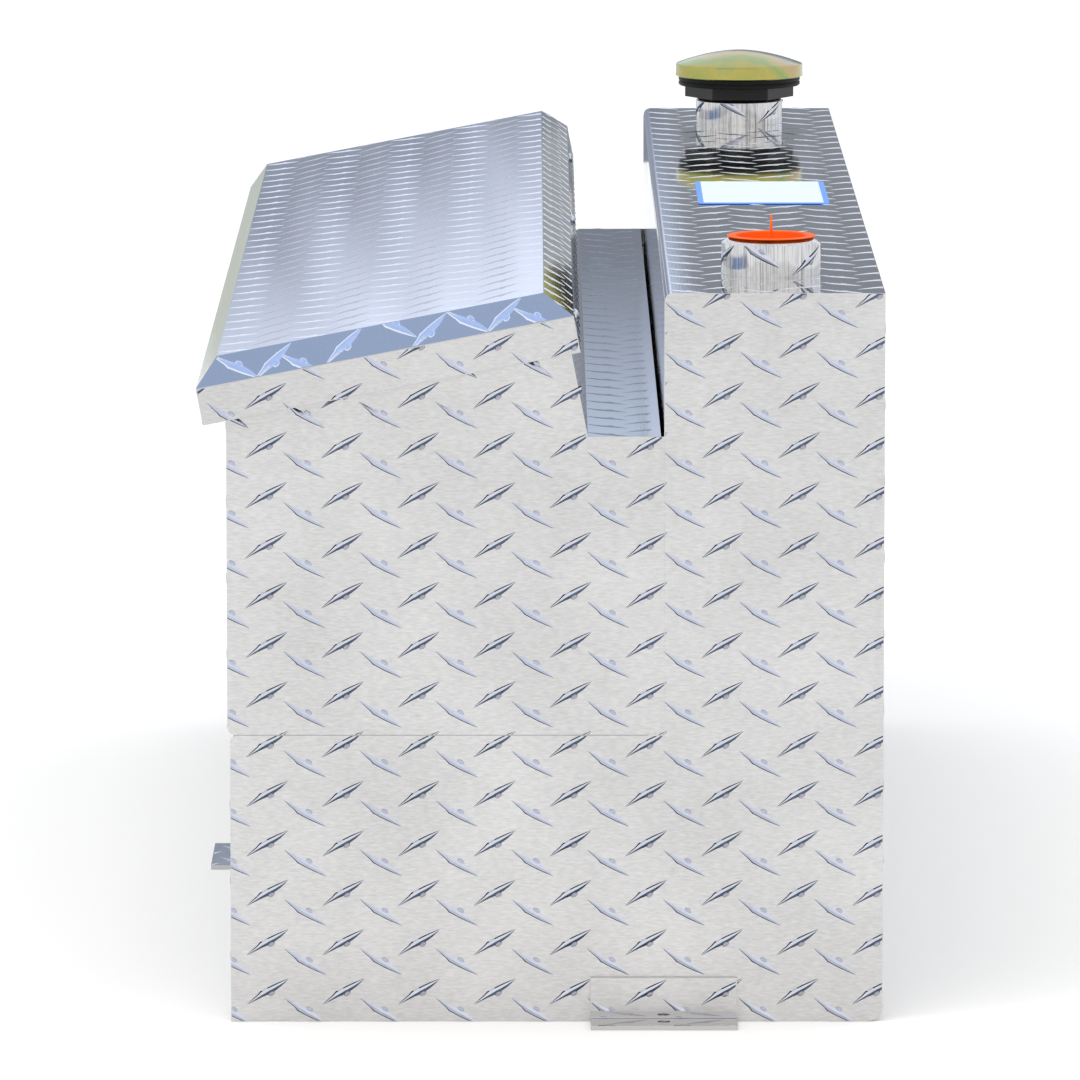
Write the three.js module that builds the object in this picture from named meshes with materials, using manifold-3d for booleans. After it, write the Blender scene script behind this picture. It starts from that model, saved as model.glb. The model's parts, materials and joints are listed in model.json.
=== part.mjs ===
// Combination tank: an L-shaped liquid tank of tread plate with a toolbox seated on its low front step.
// Millimetres. +X runs from the toolbox side to the tall back wall, +Y along the length, +Z up.
// The tank's own coordinates start at its front wall, at mid length, on the ground; the whole
// group is then moved so that the origin is at the centre of the object's footprint.
import * as THREE from 'three';
import { mergeVertices } from 'three/addons/utils/BufferGeometryUtils.js';
import Module from 'manifold-3d';

const wasm = await Module();
wasm.setup();

// ---- driving dimensions -------------------------------------------------------------------
const length = 1524;
const depth = 508;
const height = 571.5;
const plate = 3.2;
const gap = 0.3;
const bendSteps = 3;

const stepHeight = 225.7;
const tallFront = 337.5;
const floorBend = 10.5;
const edgeBend = 6;
const stepBend = 13;

const boxFront = -2.1;
const boxBottom = stepHeight + gap;
const boxRear = 333;
const shelfTop = 459.7;

const lidTilt = THREE.MathUtils.degToRad(11);
const lidCorner = [-19.7, 469.2];
const lidWidth = 297.7;
const lidOverhang = 6;
const lidSheet = 1.6;
const skirtHeight = 29;
const lidBevel = 20;
const slopeWall = 290.5;
const wallTop = 18.5;

const rimWidth = 24;
const sealInset = 6;
const sealWidth = 12;
const sealHeight = 6.3;
const panSheet = 2;

const hingeA = 293.3;
const hingeB = 2.8;
const pinRadius = 1.2;
const knuckleBore = 1.45;
const knuckleRadius = 2.5;
const knuckleCount = 12;
const leafSheet = 1;
const rivetPlaces = [75, 780, 1310];

const portX = (tallFront + depth) / 2;
const portRadius = 39;
const portBore = 30;
const portDip = 20;
const bungPlace = 142;
const bungRise = 29;
const neckPlace = length - 136;
const neckRise = 21.8;

const hexCorners = 99;
const hexHeight = 10.3;
const gasketHeight = 1.7;
const ringRadius = 55;
const ringHeight = 8.3;
const domeRadius = 57.6;
const domeRim = 11.4;
const domeRise = 11.8;
const nippleRadius = 29.4;
const nippleBore = 22;
const nippleLength = 12;

const bracketWidth = 114;
const bracketReach = 38;
const bracketRise = 35;
const bracketHole = 5;

const baffleCount = 3;
const strutPlane = length / 2 - 40;

// ---- finishes -----------------------------------------------------------------------------
const tread = { color: 0xd6d6d2, roughness: 0.35, metalness: 0.85 };
const treadDark = { color: 0xb4b8c0, roughness: 0.3, metalness: 0.9 };
const millAluminium = { color: 0xc4c6c8, roughness: 0.45, metalness: 0.9 };
const polished = { color: 0xe2e2e0, roughness: 0.12, metalness: 1 };
const zincSteel = { color: 0xb9bcc0, roughness: 0.35, metalness: 1 };
const yellowZinc = { color: 0xc9b95a, roughness: 0.25, metalness: 1 };
const blackPlastic = { color: 0x121214, roughness: 0.45, metalness: 0 };
const blackRubber = { color: 0x1a1a1a, roughness: 0.85, metalness: 0 };
const orangePlastic = { color: 0xff5a14, roughness: 0.4, metalness: 0 };
const labelVinyl = { color: 0xf4f7fa, roughness: 0.5, metalness: 0 };

// ---- solids: joining and cutting ------------------------------------------------------------
function solidOf(geometry) {
  const bare = geometry.clone();
  bare.deleteAttribute('normal');
  bare.deleteAttribute('uv');
  const merged = mergeVertices(bare, 1e-4);
  const vertProperties = new Float32Array(merged.attributes.position.array);
  const triVerts = new Uint32Array(merged.index.array);
  return new wasm.Manifold(new wasm.Mesh({ numProp: 3, vertProperties, triVerts }));
}

function geometryOf(solid) {
  const mesh = solid.getMesh();
  const geometry = new THREE.BufferGeometry();
  geometry.setAttribute('position', new THREE.BufferAttribute(mesh.vertProperties, 3));
  geometry.setIndex(new THREE.BufferAttribute(mesh.triVerts, 1));
  return geometry;
}

function cut(base, ...tools) {
  const result = tools.reduce((solid, tool) => solid.subtract(solidOf(tool)), solidOf(base));
  return geometryOf(result);
}

function join(...pieces) {
  const solids = pieces.map(solidOf);
  return geometryOf(solids.reduce((whole, solid) => whole.add(solid)));
}

// ---- outlines -------------------------------------------------------------------------------
// A path through corners given as [x, y, bend radius]; a corner with no radius stays sharp.
function bentPath(corners, closed) {
  const last = corners.length - 1;
  return corners.flatMap(([x, y, radius = 0], i) => {
    const here = new THREE.Vector2(x, y);
    const isEnd = !closed && (i === 0 || i === last);
    if (isEnd || radius <= 0) return [here];
    const [bx, by] = corners[i === 0 ? last : i - 1];
    const [ax, ay] = corners[i === last ? 0 : i + 1];
    const before = new THREE.Vector2(bx - x, by - y).normalize();
    const after = new THREE.Vector2(ax - x, ay - y).normalize();
    const half = Math.acos(before.dot(after)) / 2;
    const reach = radius / Math.tan(half);
    const inward = before.clone().add(after).normalize();
    const centre = here.clone().addScaledVector(inward, radius / Math.sin(half));
    const start = here.clone().addScaledVector(before, reach).sub(centre);
    const end = here.clone().addScaledVector(after, reach).sub(centre);
    const sweep = Math.atan2(start.cross(end), start.dot(end));
    return Array.from({ length: bendSteps + 1 }, (_, k) => start
      .clone()
      .rotateAround(new THREE.Vector2(), (sweep * k) / bendSteps)
      .add(centre));
  });
}

// The cross-section of a folded sheet: corners run along one face, and side is +1 when the
// metal lies to the left of that run and -1 when it lies to the right.
function foldedSheet(corners, thickness, side) {
  const last = corners.length - 1;
  const directions = corners.slice(1).map(([x, y], i) => (
    new THREE.Vector2(x - corners[i][0], y - corners[i][1]).normalize()));
  const otherFace = corners.map(([x, y, radius = 0], i) => {
    const into = directions[Math.max(i - 1, 0)];
    const out = directions[Math.min(i, last - 1)];
    const turn = Math.sign(into.cross(out));
    const scale = (side * thickness) / (1 + into.dot(out));
    const offsetX = -(into.y + out.y) * scale;
    const offsetY = (into.x + out.x) * scale;
    const bend = radius > 0 ? Math.max(radius - thickness * side * turn, 0.4) : 0;
    return [x + offsetX, y + offsetY, bend];
  });
  const outline = [...bentPath(corners, false), ...bentPath(otherFace, false).reverse()];
  return new THREE.Shape(outline);
}

function polygon(corners) {
  return new THREE.Shape(bentPath(corners, true));
}

function rectangle(x0, y0, x1, y1) {
  return polygon([[x0, y0], [x1, y0], [x1, y1], [x0, y1]]);
}

function disc(x, y, radius, steps) {
  return Array.from({ length: steps }, (_, k) => {
    const angle = (2 * Math.PI * (k + 0.5)) / steps;
    return new THREE.Vector2(x + radius * Math.cos(angle), y + radius * Math.sin(angle));
  });
}

function withHoles(shape, ...rings) {
  shape.holes.push(...rings.map((ring) => new THREE.Path(ring)));
  return shape;
}

// ---- extrusions along the three axes --------------------------------------------------------
function alongY(shape, y0, y1) {
  const geometry = new THREE.ExtrudeGeometry(shape, { depth: y1 - y0, bevelEnabled: false });
  return geometry.rotateX(Math.PI / 2).translate(0, y1, 0);
}

function alongZ(shape, z0, z1) {
  const geometry = new THREE.ExtrudeGeometry(shape, { depth: z1 - z0, bevelEnabled: false });
  return geometry.translate(0, 0, z0);
}

function alongX(shape, x0, x1) {
  const geometry = new THREE.ExtrudeGeometry(shape, { depth: x1 - x0, bevelEnabled: false });
  const axes = new THREE.Matrix4().makeBasis(
    new THREE.Vector3(0, 1, 0),
    new THREE.Vector3(0, 0, 1),
    new THREE.Vector3(1, 0, 0),
  );
  return geometry.applyMatrix4(axes).translate(x0, 0, 0);
}

function block(x0, x1, y0, y1, z0, z1) {
  return alongZ(rectangle(x0, y0, x1, y1), z0, z1);
}

// A round solid about a vertical axis; profile is a list of [radius, z].
function turned(profile, steps, x = 0, y = 0) {
  const outline = profile.map(([radius, z]) => new THREE.Vector2(radius, z));
  return new THREE.LatheGeometry(outline, steps).rotateX(Math.PI / 2).translate(x, y, 0);
}

function rod(radius, z0, z1, steps, x = 0, y = 0) {
  return alongZ(new THREE.Shape(disc(x, y, radius, steps)), z0, z1);
}

// ---- scene graph ----------------------------------------------------------------------------
const object = new THREE.Group();
object.position.x = -(depth - bracketReach) / 2;
const tilted = new THREE.Group();
tilted.position.set(lidCorner[0], 0, lidCorner[1]);
tilted.rotation.y = -lidTilt;
object.add(tilted);

function add(parent, name, geometry, finish) {
  const mesh = new THREE.Mesh(geometry, new THREE.MeshStandardMaterial(finish));
  mesh.name = name;
  parent.add(mesh);
  return mesh;
}

// A point of the tilted lid frame, as [x, z] in the tank's coordinates.
function fromLid(a, b) {
  const x = lidCorner[0] + a * Math.cos(lidTilt) - b * Math.sin(lidTilt);
  const z = lidCorner[1] + a * Math.sin(lidTilt) + b * Math.cos(lidTilt);
  return [x, z];
}

// The x at which a plane of constant a in the lid frame crosses the height z.
function slopeAt(a, z) {
  const b = (z - lidCorner[1] - a * Math.sin(lidTilt)) / Math.cos(lidTilt);
  return fromLid(a, b)[0];
}

const nearEnd = -length / 2;
const farEnd = length / 2;

// ---- liquid tank ----------------------------------------------------------------------------
function tankSection(inset) {
  const top = height - inset;
  return polygon([
    [inset, inset],
    [depth - inset, inset, floorBend - inset],
    [depth - inset, top],
    [tallFront + inset, top, edgeBend - inset],
    [tallFront + inset, stepHeight - inset, stepBend + inset],
    [inset, stepHeight - inset, edgeBend - inset],
  ]);
}

function tankWraps() {
  const floorAndBack = foldedSheet([
    [0, 0],
    [depth, 0, floorBend],
    [depth, height - plate - gap],
  ], plate, 1);
  const frontAndTop = foldedSheet([
    [0, plate + gap],
    [0, stepHeight, edgeBend],
    [tallFront, stepHeight, stepBend],
    [tallFront, height, edgeBend],
    [depth, height],
  ], plate, -1);
  const ports = [bungPlace, neckPlace].map((place) => rod(
    portRadius + gap, height - plate - 1, height + 1, 32, portX, nearEnd + place));
  add(object, 'tank_floor_back_sheet', alongY(floorAndBack, nearEnd, farEnd), tread);
  add(object, 'tank_front_top_sheet', cut(alongY(frontAndTop, nearEnd, farEnd), ...ports), tread);
}

function tankEnds() {
  const inset = plate + gap;
  add(object, 'tank_end_near', alongY(tankSection(inset), nearEnd, nearEnd + plate), tread);
  add(object, 'tank_end_far', alongY(tankSection(inset), farEnd - plate, farEnd), tread);
}

// Each baffle has clipped corners for drain and vent, and two large flow holes.
function tankBaffles() {
  const clip = 30;
  const inset = plate + gap;
  const top = height - inset;
  const flowHoles = [[170, 112, 45], [portX, 300, 45]];
  for (let i = 1; i <= baffleCount; i += 1) {
    const y = nearEnd + (length * i) / (baffleCount + 1);
    const outline = polygon([
      [inset + clip, inset],
      [depth - inset - clip, inset],
      [depth - inset, inset + clip],
      [depth - inset, top - clip],
      [depth - inset - clip, top],
      [tallFront + inset + clip, top],
      [tallFront + inset, top - clip],
      [tallFront + inset, stepHeight - inset, stepBend + inset],
      [inset + clip, stepHeight - inset],
      [inset, stepHeight - inset - clip],
      [inset, inset + clip],
    ]);
    const section = withHoles(outline, ...flowHoles.map(([x, z, r]) => disc(x, z, r, 20)));
    add(object, `tank_baffle_${i}`, alongY(section, y - plate / 2, y + plate / 2), millAluminium);
  }
}

function tankPorts() {
  const chamfer = 4;
  const low = height - portDip;
  const bungTop = height + bungRise;
  const neckTop = height + neckRise;
  const bung = turned([
    [portBore, low],
    [portRadius, low],
    [portRadius, bungTop - 1.5 * chamfer],
    [portRadius - chamfer, bungTop],
    [portBore, bungTop],
    [portBore, low],
  ], 32, portX, nearEnd + bungPlace);
  const neck = turned([
    [portBore, low],
    [portRadius, low],
    [portRadius, neckTop - 1],
    [portRadius - 1, neckTop],
    [portBore, neckTop],
    [portBore, low],
  ], 32, portX, nearEnd + neckPlace);
  add(object, 'outlet_bung', bung, polished);
  add(object, 'filler_neck', neck, polished);
}

// The push-in plug: a thin cup with a rim that rests on the bung, and an upright pull tab.
function bungPlug() {
  const seat = height + bungRise + gap;
  const rimThickness = 1.6;
  const wall = 1.8;
  const plugRadius = portBore - 0.5;
  const cupDepth = 18;
  const cup = turned([
    [0, seat - cupDepth],
    [plugRadius - 1, seat - cupDepth],
    [plugRadius, seat],
    [portRadius - 4, seat],
    [portRadius - 4.4, seat + rimThickness],
    [plugRadius - wall, seat + rimThickness],
    [plugRadius - wall - 1, seat - cupDepth + wall],
    [0, seat - cupDepth + wall],
  ], 32, portX, nearEnd + bungPlace);
  const tab = alongY(polygon([
    [-1.6, seat - cupDepth + wall / 2],
    [1.6, seat - cupDepth + wall / 2],
    [0.7, seat + 17],
    [-0.7, seat + 17],
  ]), -9, 9).translate(portX, nearEnd + bungPlace, 0);
  add(object, 'bung_plug', join(cup, tab), orangePlastic);
}

// The vented cap: hexagon base with a threaded nipple, black seal ring and plated dome.
function fillerCap() {
  const x = portX;
  const y = nearEnd + neckPlace;
  const gasketLow = height + neckRise + gap;
  const hexLow = gasketLow + gasketHeight;
  const ringLow = hexLow + hexHeight + gap;
  const rimLow = ringLow + ringHeight;
  const domeTop = rimLow + domeRim + domeRise;
  const gasket = alongZ(
    withHoles(new THREE.Shape(disc(x, y, portRadius - 1.5, 32)), disc(x, y, portBore + 0.5, 32)),
    gasketLow,
    hexLow - gap,
  );
  const corners = Array.from({ length: 6 }, (_, k) => {
    const angle = (k * Math.PI) / 3;
    return [x + (hexCorners / 2) * Math.cos(angle), y + (hexCorners / 2) * Math.sin(angle)];
  });
  const hexagon = alongZ(withHoles(polygon(corners), disc(x, y, nippleBore, 24)), hexLow, hexLow + hexHeight);
  const nipple = alongZ(
    withHoles(new THREE.Shape(disc(x, y, nippleRadius, 24)), disc(x, y, nippleBore, 24)),
    height + neckRise - nippleLength,
    hexLow + 1,
  );
  const ring = turned([
    [20, ringLow],
    [ringRadius - 1, ringLow],
    [ringRadius, ringLow + 1],
    [ringRadius, rimLow + 2],
    [20, rimLow + 2],
    [20, ringLow],
  ], 32, x, y);
  const skin = 1.2;
  const crownSteps = 6;
  const crown = (inset) => Array.from({ length: crownSteps + 1 }, (_, k) => {
    const swing = (k / crownSteps) * (Math.PI / 2);
    const radius = (domeRadius - 2 - inset) * Math.cos(swing);
    return [radius, rimLow + domeRim - inset + domeRise * Math.sin(swing) ** 1.3];
  });
  const dome = turned([
    [domeRadius - skin, rimLow],
    [domeRadius, rimLow],
    [domeRadius, rimLow + domeRim - 2],
    ...crown(0),
    ...crown(skin).reverse(),
    [domeRadius - skin, rimLow + domeRim - 2 - skin],
    [domeRadius - skin, rimLow],
  ], 32, x, y);
  const vent = turned([
    [0, rimLow + 3],
    [9, rimLow + 3],
    [9, rimLow + 6],
    [0, domeTop - 6],
  ], 16, x, y);
  add(object, 'cap_gasket', gasket, blackRubber);
  add(object, 'cap_hex_base', join(hexagon, nipple), blackPlastic);
  add(object, 'cap_seal_ring', ring, blackRubber);
  add(object, 'cap_dome', dome, yellowZinc);
  add(object, 'cap_vent_disc', vent, blackPlastic);
}

function tankLabel() {
  const label = block(374, 484, -98, 85, height + gap, height + gap + 0.5);
  add(object, 'blank_label', label, labelVinyl);
}

// An angle of tread plate: one leg on the ground, one leg against the wall it is welded to.
function bracket(name, turn, x, y) {
  const half = bracketWidth / 2;
  const angle = alongY(foldedSheet([
    [-bracketReach, 0],
    [-gap, 0, 4],
    [-gap, bracketRise],
  ], plate, 1), -half, half);
  const hole = rod(bracketHole, -1, plate + 1, 16, -19, 0);
  const mesh = add(object, name, cut(angle, hole), treadDark);
  mesh.rotation.z = turn;
  mesh.position.set(x, y, 0);
}

// ---- toolbox --------------------------------------------------------------------------------
function toolboxBody() {
  const [, frontTop] = fromLid((boxFront - lidCorner[0]) / Math.cos(lidTilt), wallTop);
  const inset = plate + gap;
  const innerSlope = slopeWall - inset;
  const shelfEnd = slopeAt(innerSlope, shelfTop - inset) + gap;
  const wrap = foldedSheet([
    [boxFront, frontTop],
    [boxFront, boxBottom, edgeBend],
    [boxRear, boxBottom, stepBend - 0.5],
    [boxRear, shelfTop, 5],
    [shelfEnd, shelfTop],
  ], plate, 1);
  const cupWindow = block(boxFront - 2, boxFront + 6, -56, 56, 386, 452);
  add(object, 'toolbox_body_sheet', cut(alongY(wrap, nearEnd, farEnd), cupWindow), tread);

  const foot = shelfTop + gap;
  const slope = polygon([
    [slopeAt(slopeWall - plate, foot), foot],
    [slopeAt(slopeWall, foot), foot],
    fromLid(slopeWall, wallTop),
    fromLid(slopeWall - plate, wallTop),
  ]);
  add(object, 'toolbox_slope_sheet', alongY(slope, nearEnd, farEnd), tread);

  const endPanel = polygon([
    [boxFront + inset, boxBottom + inset, edgeBend - inset],
    [boxRear - inset, boxBottom + inset, stepBend - inset],
    [boxRear - inset, shelfTop - inset, 1.5],
    [slopeAt(innerSlope, shelfTop - inset), shelfTop - inset],
    fromLid(innerSlope, wallTop),
    [boxFront + inset, frontTop],
  ]);
  add(object, 'toolbox_end_near', alongY(endPanel, nearEnd, nearEnd + plate), tread);
  add(object, 'toolbox_end_far', alongY(endPanel, farEnd - plate, farEnd), tread);
}

function toolboxRim() {
  const front = (boxFront - lidCorner[0] + wallTop * Math.sin(lidTilt)) / Math.cos(lidTilt) + 0.4;
  const ringShape = (inset, width) => {
    const outer = rectangle(front + inset, nearEnd + inset, slopeWall - inset, farEnd - inset);
    const inner = inset + width;
    return withHoles(outer, [
      new THREE.Vector2(front + inner, nearEnd + inner),
      new THREE.Vector2(front + inner, farEnd - inner),
      new THREE.Vector2(slopeWall - inner, farEnd - inner),
      new THREE.Vector2(slopeWall - inner, nearEnd + inner),
    ]);
  };
  const rimLow = wallTop + gap;
  const sealLow = rimLow + plate + gap;
  const rim = alongZ(ringShape(0, rimWidth), rimLow, rimLow + plate);
  const seal = alongZ(ringShape(sealInset, sealWidth), sealLow, sealLow + sealHeight);
  add(tilted, 'toolbox_rim', rim, millAluminium);
  add(tilted, 'lid_seal', seal, blackRubber);
}

// ---- lid ------------------------------------------------------------------------------------
// A shallow pan turned upside down: skirts, then bevels, then the flat top. The points are three
// rectangles, one above the other.
function bevelledBox(inset, low, shoulder, top, bevelInset) {
  const half = length / 2 + lidOverhang;
  const loop = (margin, b) => [
    [margin, -half + margin, b],
    [lidWidth - margin, -half + margin, b],
    [lidWidth - margin, half - margin, b],
    [margin, half - margin, b],
  ];
  const points = [...loop(inset, low), ...loop(inset, shoulder), ...loop(bevelInset, top)].flat();
  const faces = [0, 2, 1, 0, 3, 2, 8, 9, 10, 8, 10, 11];
  for (let level = 0; level < 8; level += 4) {
    for (let k = 0; k < 4; k += 1) {
      const next = (k + 1) % 4;
      const [p, q, r, s] = [level + k, level + next, level + 4 + next, level + 4 + k];
      faces.push(p, q, r, p, r, s);
    }
  }
  const geometry = new THREE.BufferGeometry();
  geometry.setAttribute('position', new THREE.Float32BufferAttribute(points, 3));
  geometry.setIndex(faces);
  return geometry;
}

// Discs along the a axis of the lid frame, used for rivets, their holes and other cross pins.
function rodAlongX(radius, a0, a1, steps, y, z) {
  return alongX(new THREE.Shape(disc(y, z, radius, steps)), a0, a1);
}

function rivetHoles(a0, a1) {
  return rivetPlaces.map((place) => rodAlongX(2.7, a0, a1, 12, nearEnd + place, rivetHeight));
}

const rivetHeight = 20.5;
const lidTop = skirtHeight + lidBevel;

function lidShell() {
  const bevelShift = lidSheet * (Math.SQRT2 - 1);
  const outer = bevelledBox(0, 0, skirtHeight, lidTop, lidBevel);
  const inner = bevelledBox(
    lidSheet, -1, skirtHeight - bevelShift, lidTop - lidSheet, lidBevel + bevelShift);
  const shell = cut(outer, inner, ...rivetHoles(lidWidth - lidSheet - 1, lidWidth + 1));
  add(tilted, 'lid_skin', shell, tread);
}

function lidInside() {
  const panLow = wallTop + plate + sealHeight + 3 * gap;
  const half = length / 2 + lidOverhang;
  const pan = block(7, slopeWall, -half + 7, half - 7, panLow, panLow + panSheet);
  add(tilted, 'lid_inner_pan', pan, millAluminium);
  const ribLow = panLow + panSheet + gap;
  const ribTop = lidTop - lidSheet - gap;
  [-1, 0, 1].forEach((place, i) => {
    const rib = foldedSheet([
      [-42, ribLow],
      [-24, ribLow],
      [-16, ribTop - 1.2],
      [16, ribTop - 1.2],
      [24, ribLow],
      [42, ribLow],
    ], 1.2, 1);
    const across = alongX(rib, lidBevel + 4, lidWidth - lidBevel - 4).translate(0, (place * length) / 4, 0);
    add(tilted, `lid_rib_${i + 1}`, across, millAluminium);
  });
}

// One hinge leaf: a long strip with every second knuckle, joined to it by a short web.
function hingeLeaf(first, leafLow, leafHigh, stripA, webA) {
  const strip = block(stripA, stripA + leafSheet, nearEnd + 6, farEnd - 6, leafLow, leafHigh);
  const pitch = (length - 12) / knuckleCount;
  const pieces = [strip];
  for (let i = first; i < knuckleCount; i += 2) {
    const y0 = nearEnd + 6 + i * pitch + 0.25;
    const y1 = y0 + pitch - 0.5;
    const knuckle = withHoles(
      new THREE.Shape(disc(hingeA, hingeB, knuckleRadius, 12)),
      disc(hingeA, hingeB, knuckleBore, 12),
    );
    pieces.push(alongY(knuckle, y0, y1));
    const [low, high] = [Math.min(stripA, webA), Math.max(stripA + leafSheet, webA)];
    pieces.push(block(low, high, y0, y1, hingeB + knuckleRadius * 0.75, leafLow + 1));
  }
  return pieces;
}

function lidHinge() {
  const leafLow = hingeB + knuckleRadius + 0.6;
  const boxLeafA = slopeWall + gap;
  const lidLeafA = lidWidth - lidSheet - gap - leafSheet;
  const boxLeaf = join(...hingeLeaf(0, leafLow, wallTop - 1, boxLeafA, hingeA - 0.8));
  const lidLeafPieces = hingeLeaf(1, leafLow, 26, lidLeafA, hingeA + 0.8);
  const lidLeaf = cut(join(...lidLeafPieces), ...rivetHoles(lidLeafA - 1, lidLeafA + leafSheet + 1));
  const pinSection = new THREE.Shape(disc(hingeA, hingeB, pinRadius, 10));
  add(tilted, 'hinge_leaf_box', boxLeaf, zincSteel);
  add(tilted, 'hinge_leaf_lid', lidLeaf, zincSteel);
  add(tilted, 'hinge_pin', alongY(pinSection, nearEnd + 5, farEnd - 5), zincSteel);
}

// Dome-headed rivets that hold the hinge leaf to the lid's back skirt.
function hingeRivets() {
  rivetPlaces.forEach((place, i) => {
    const headBase = lidWidth + gap;
    const rivet = turned([
      [0, lidWidth - lidSheet - leafSheet - 1],
      [2.4, lidWidth - lidSheet - leafSheet - 1],
      [2.4, headBase],
      [5, headBase],
      [4.6, headBase + 1.6],
      [2.6, headBase + 3],
      [0, headBase + 3.4],
    ], 16);
    const mesh = add(tilted, `hinge_rivet_${i + 1}`, rivet, zincSteel);
    mesh.rotation.y = Math.PI / 2;
    mesh.position.set(0, nearEnd + place, rivetHeight);
  });
}

// ---- lid struts -----------------------------------------------------------------------------
// A gas strut at each end: the rod hangs from a stud under the lid, and the cylinder's eye comes
// to a stud on the end panel. Both eyes stop just beside their studs.
const strutPivotLid = fromLid(hingeA - 110, hingeB + 10);
const strutPivotBox = [50, 262];

function strut(side, end) {
  const y = side * strutPlane;
  const [lidX, lidZ] = strutPivotLid;
  const [boxX, boxZ] = strutPivotBox;
  const span = Math.hypot(lidX - boxX, lidZ - boxZ);
  const lean = Math.atan2(lidX - boxX, lidZ - boxZ);
  const frame = new THREE.Group();
  frame.position.set(boxX, y, boxZ);
  frame.rotation.y = lean;
  object.add(frame);
  const eye = (z) => alongY(new THREE.Shape(disc(0, z, 8, 16)), -3, 3);
  const bore = 5;
  const cylinder = turned([
    [0, 12],
    [7, 12],
    [9, 14],
    [9, 214],
    [7, 217],
    [bore, 217],
    [bore, 20],
    [0, 20],
  ], 20);
  const cylinderNeck = rod(3.2, 5, 13, 10);
  const rodBar = rod(4, 26, span - 5, 14);
  add(frame, `strut_cylinder_${end}`, join(cylinder, cylinderNeck, eye(0)), blackPlastic);
  add(frame, `strut_rod_${end}`, join(rodBar, eye(span)), polished);

  const wallFace = side * (length / 2 - plate - gap);
  const eyeFace = side * (strutPlane + 3 + 0.5);
  const [y0, y1] = [Math.min(wallFace, eyeFace), Math.max(wallFace, eyeFace)];
  const foot = side * (length / 2 - plate - gap - 3);
  const [f0, f1] = [Math.min(wallFace, foot), Math.max(wallFace, foot)];
  const boxStud = join(
    alongY(new THREE.Shape(disc(boxX, boxZ, 5, 12)), y0, y1),
    alongY(rectangle(boxX - 20, boxZ - 16, boxX + 20, boxZ + 16), f0, f1),
  );
  add(object, `strut_stud_box_${end}`, boxStud, zincSteel);

  const panLow = wallTop + plate + sealHeight + 2 * gap;
  const hangA = hingeA - 110;
  const hangB = hingeB + 10;
  const inside = eyeFace + side * 2.5;
  const outside = inside + side * 3;
  const cheek = [Math.min(inside, outside), Math.max(inside, outside)];
  const studEnds = [Math.min(eyeFace, outside), Math.max(eyeFace, outside)];
  const flangeEdge = outside - side * 30;
  const flange = [Math.min(flangeEdge, outside), Math.max(flangeEdge, outside)];
  const hanger = join(
    alongY(rectangle(hangA - 12, hangB - 7, hangA + 12, panLow), ...cheek),
    block(hangA - 12, hangA + 12, ...flange, panLow - 3, panLow),
    alongY(new THREE.Shape(disc(hangA, hangB, 4, 12)), ...studEnds),
  );
  add(tilted, `strut_hanger_lid_${end}`, hanger, zincSteel);
}

// ---- front latch ----------------------------------------------------------------------------
const latchTop = 460;
const latchLow = 378;
const pivotZ = 440;

function frontLatch() {
  const face = boxFront - gap;
  const bezel = alongX(rectangle(-66, latchLow, 66, latchTop), face - 1.5, face);
  const well = block(face - 0.5, face + 22, -54, 54, 388, 450);
  const hollow = block(face - 3, face + 20.5, -52.5, 52.5, 389.5, 448.5);
  const window = alongX(rectangle(-53, 389, 53, 449), face - 3, face + 1);
  const cup = cut(join(cut(bezel, window), well), hollow);
  add(object, 'latch_cup', cup, polished);

  const pivotX = face + 7;
  const paddle = join(
    alongX(polygon([[-50, 392, 6], [50, 392, 6], [50, 439, 3], [-50, 439, 3]]), face + 1, face + 3.5),
    alongY(new THREE.Shape(disc(pivotX, pivotZ, 3.6, 14)), -50, 50),
    block(face + 1, pivotX, -50, 50, pivotZ - 3, pivotZ + 2),
  );
  const pinHole = alongY(new THREE.Shape(disc(pivotX, pivotZ, 1.9, 12)), -52, 52);
  const lockHole = alongX(new THREE.Shape(disc(0, 416, 9.4, 20)), face - 1, face + 5);
  add(object, 'latch_paddle', cut(paddle, pinHole, lockHole), polished);
  const pin = alongY(new THREE.Shape(disc(pivotX, pivotZ, 1.6, 12)), -52, 52);
  add(object, 'latch_paddle_pin', pin, zincSteel);

  const barrel = alongX(new THREE.Shape(disc(0, 416, 9, 20)), face + 0.6, face + 13);
  const keyway = block(face - 1, face + 3, -0.8, 0.8, 411, 421);
  add(object, 'lock_cylinder', cut(barrel, keyway), zincSteel);

  const inner = boxFront + plate + gap;
  const housing = cut(
    block(inner, inner + 24, -24, 24, 464, 488),
    block(inner + 3, inner + 26, -14.4, 14.4, 472, 489),
  );
  add(object, 'latch_bolt_housing', housing, zincSteel);
  const boltShape = polygon([
    [inner + 14, 472.4],
    [inner + 24, 472.4],
    [inner + 30, 476],
    [inner + 30, 483],
    [inner + 14, 483],
  ]);
  add(object, 'latch_bolt', alongY(boltShape, -14, 14), zincSteel);

  const strikerA = 54.5;
  const panLow = wallTop + plate + sealHeight + 2 * gap;
  const plateShape = withHoles(rectangle(-22, -10, 22, panLow), [
    new THREE.Vector2(-16, -6),
    new THREE.Vector2(-16, 8),
    new THREE.Vector2(16, 8),
    new THREE.Vector2(16, -6),
  ]);
  const striker = join(
    alongX(plateShape, strikerA, strikerA + 3),
    block(strikerA, strikerA + 22, -22, 22, panLow - 3, panLow),
  );
  add(tilted, 'lid_striker', striker, zincSteel);
}

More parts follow.
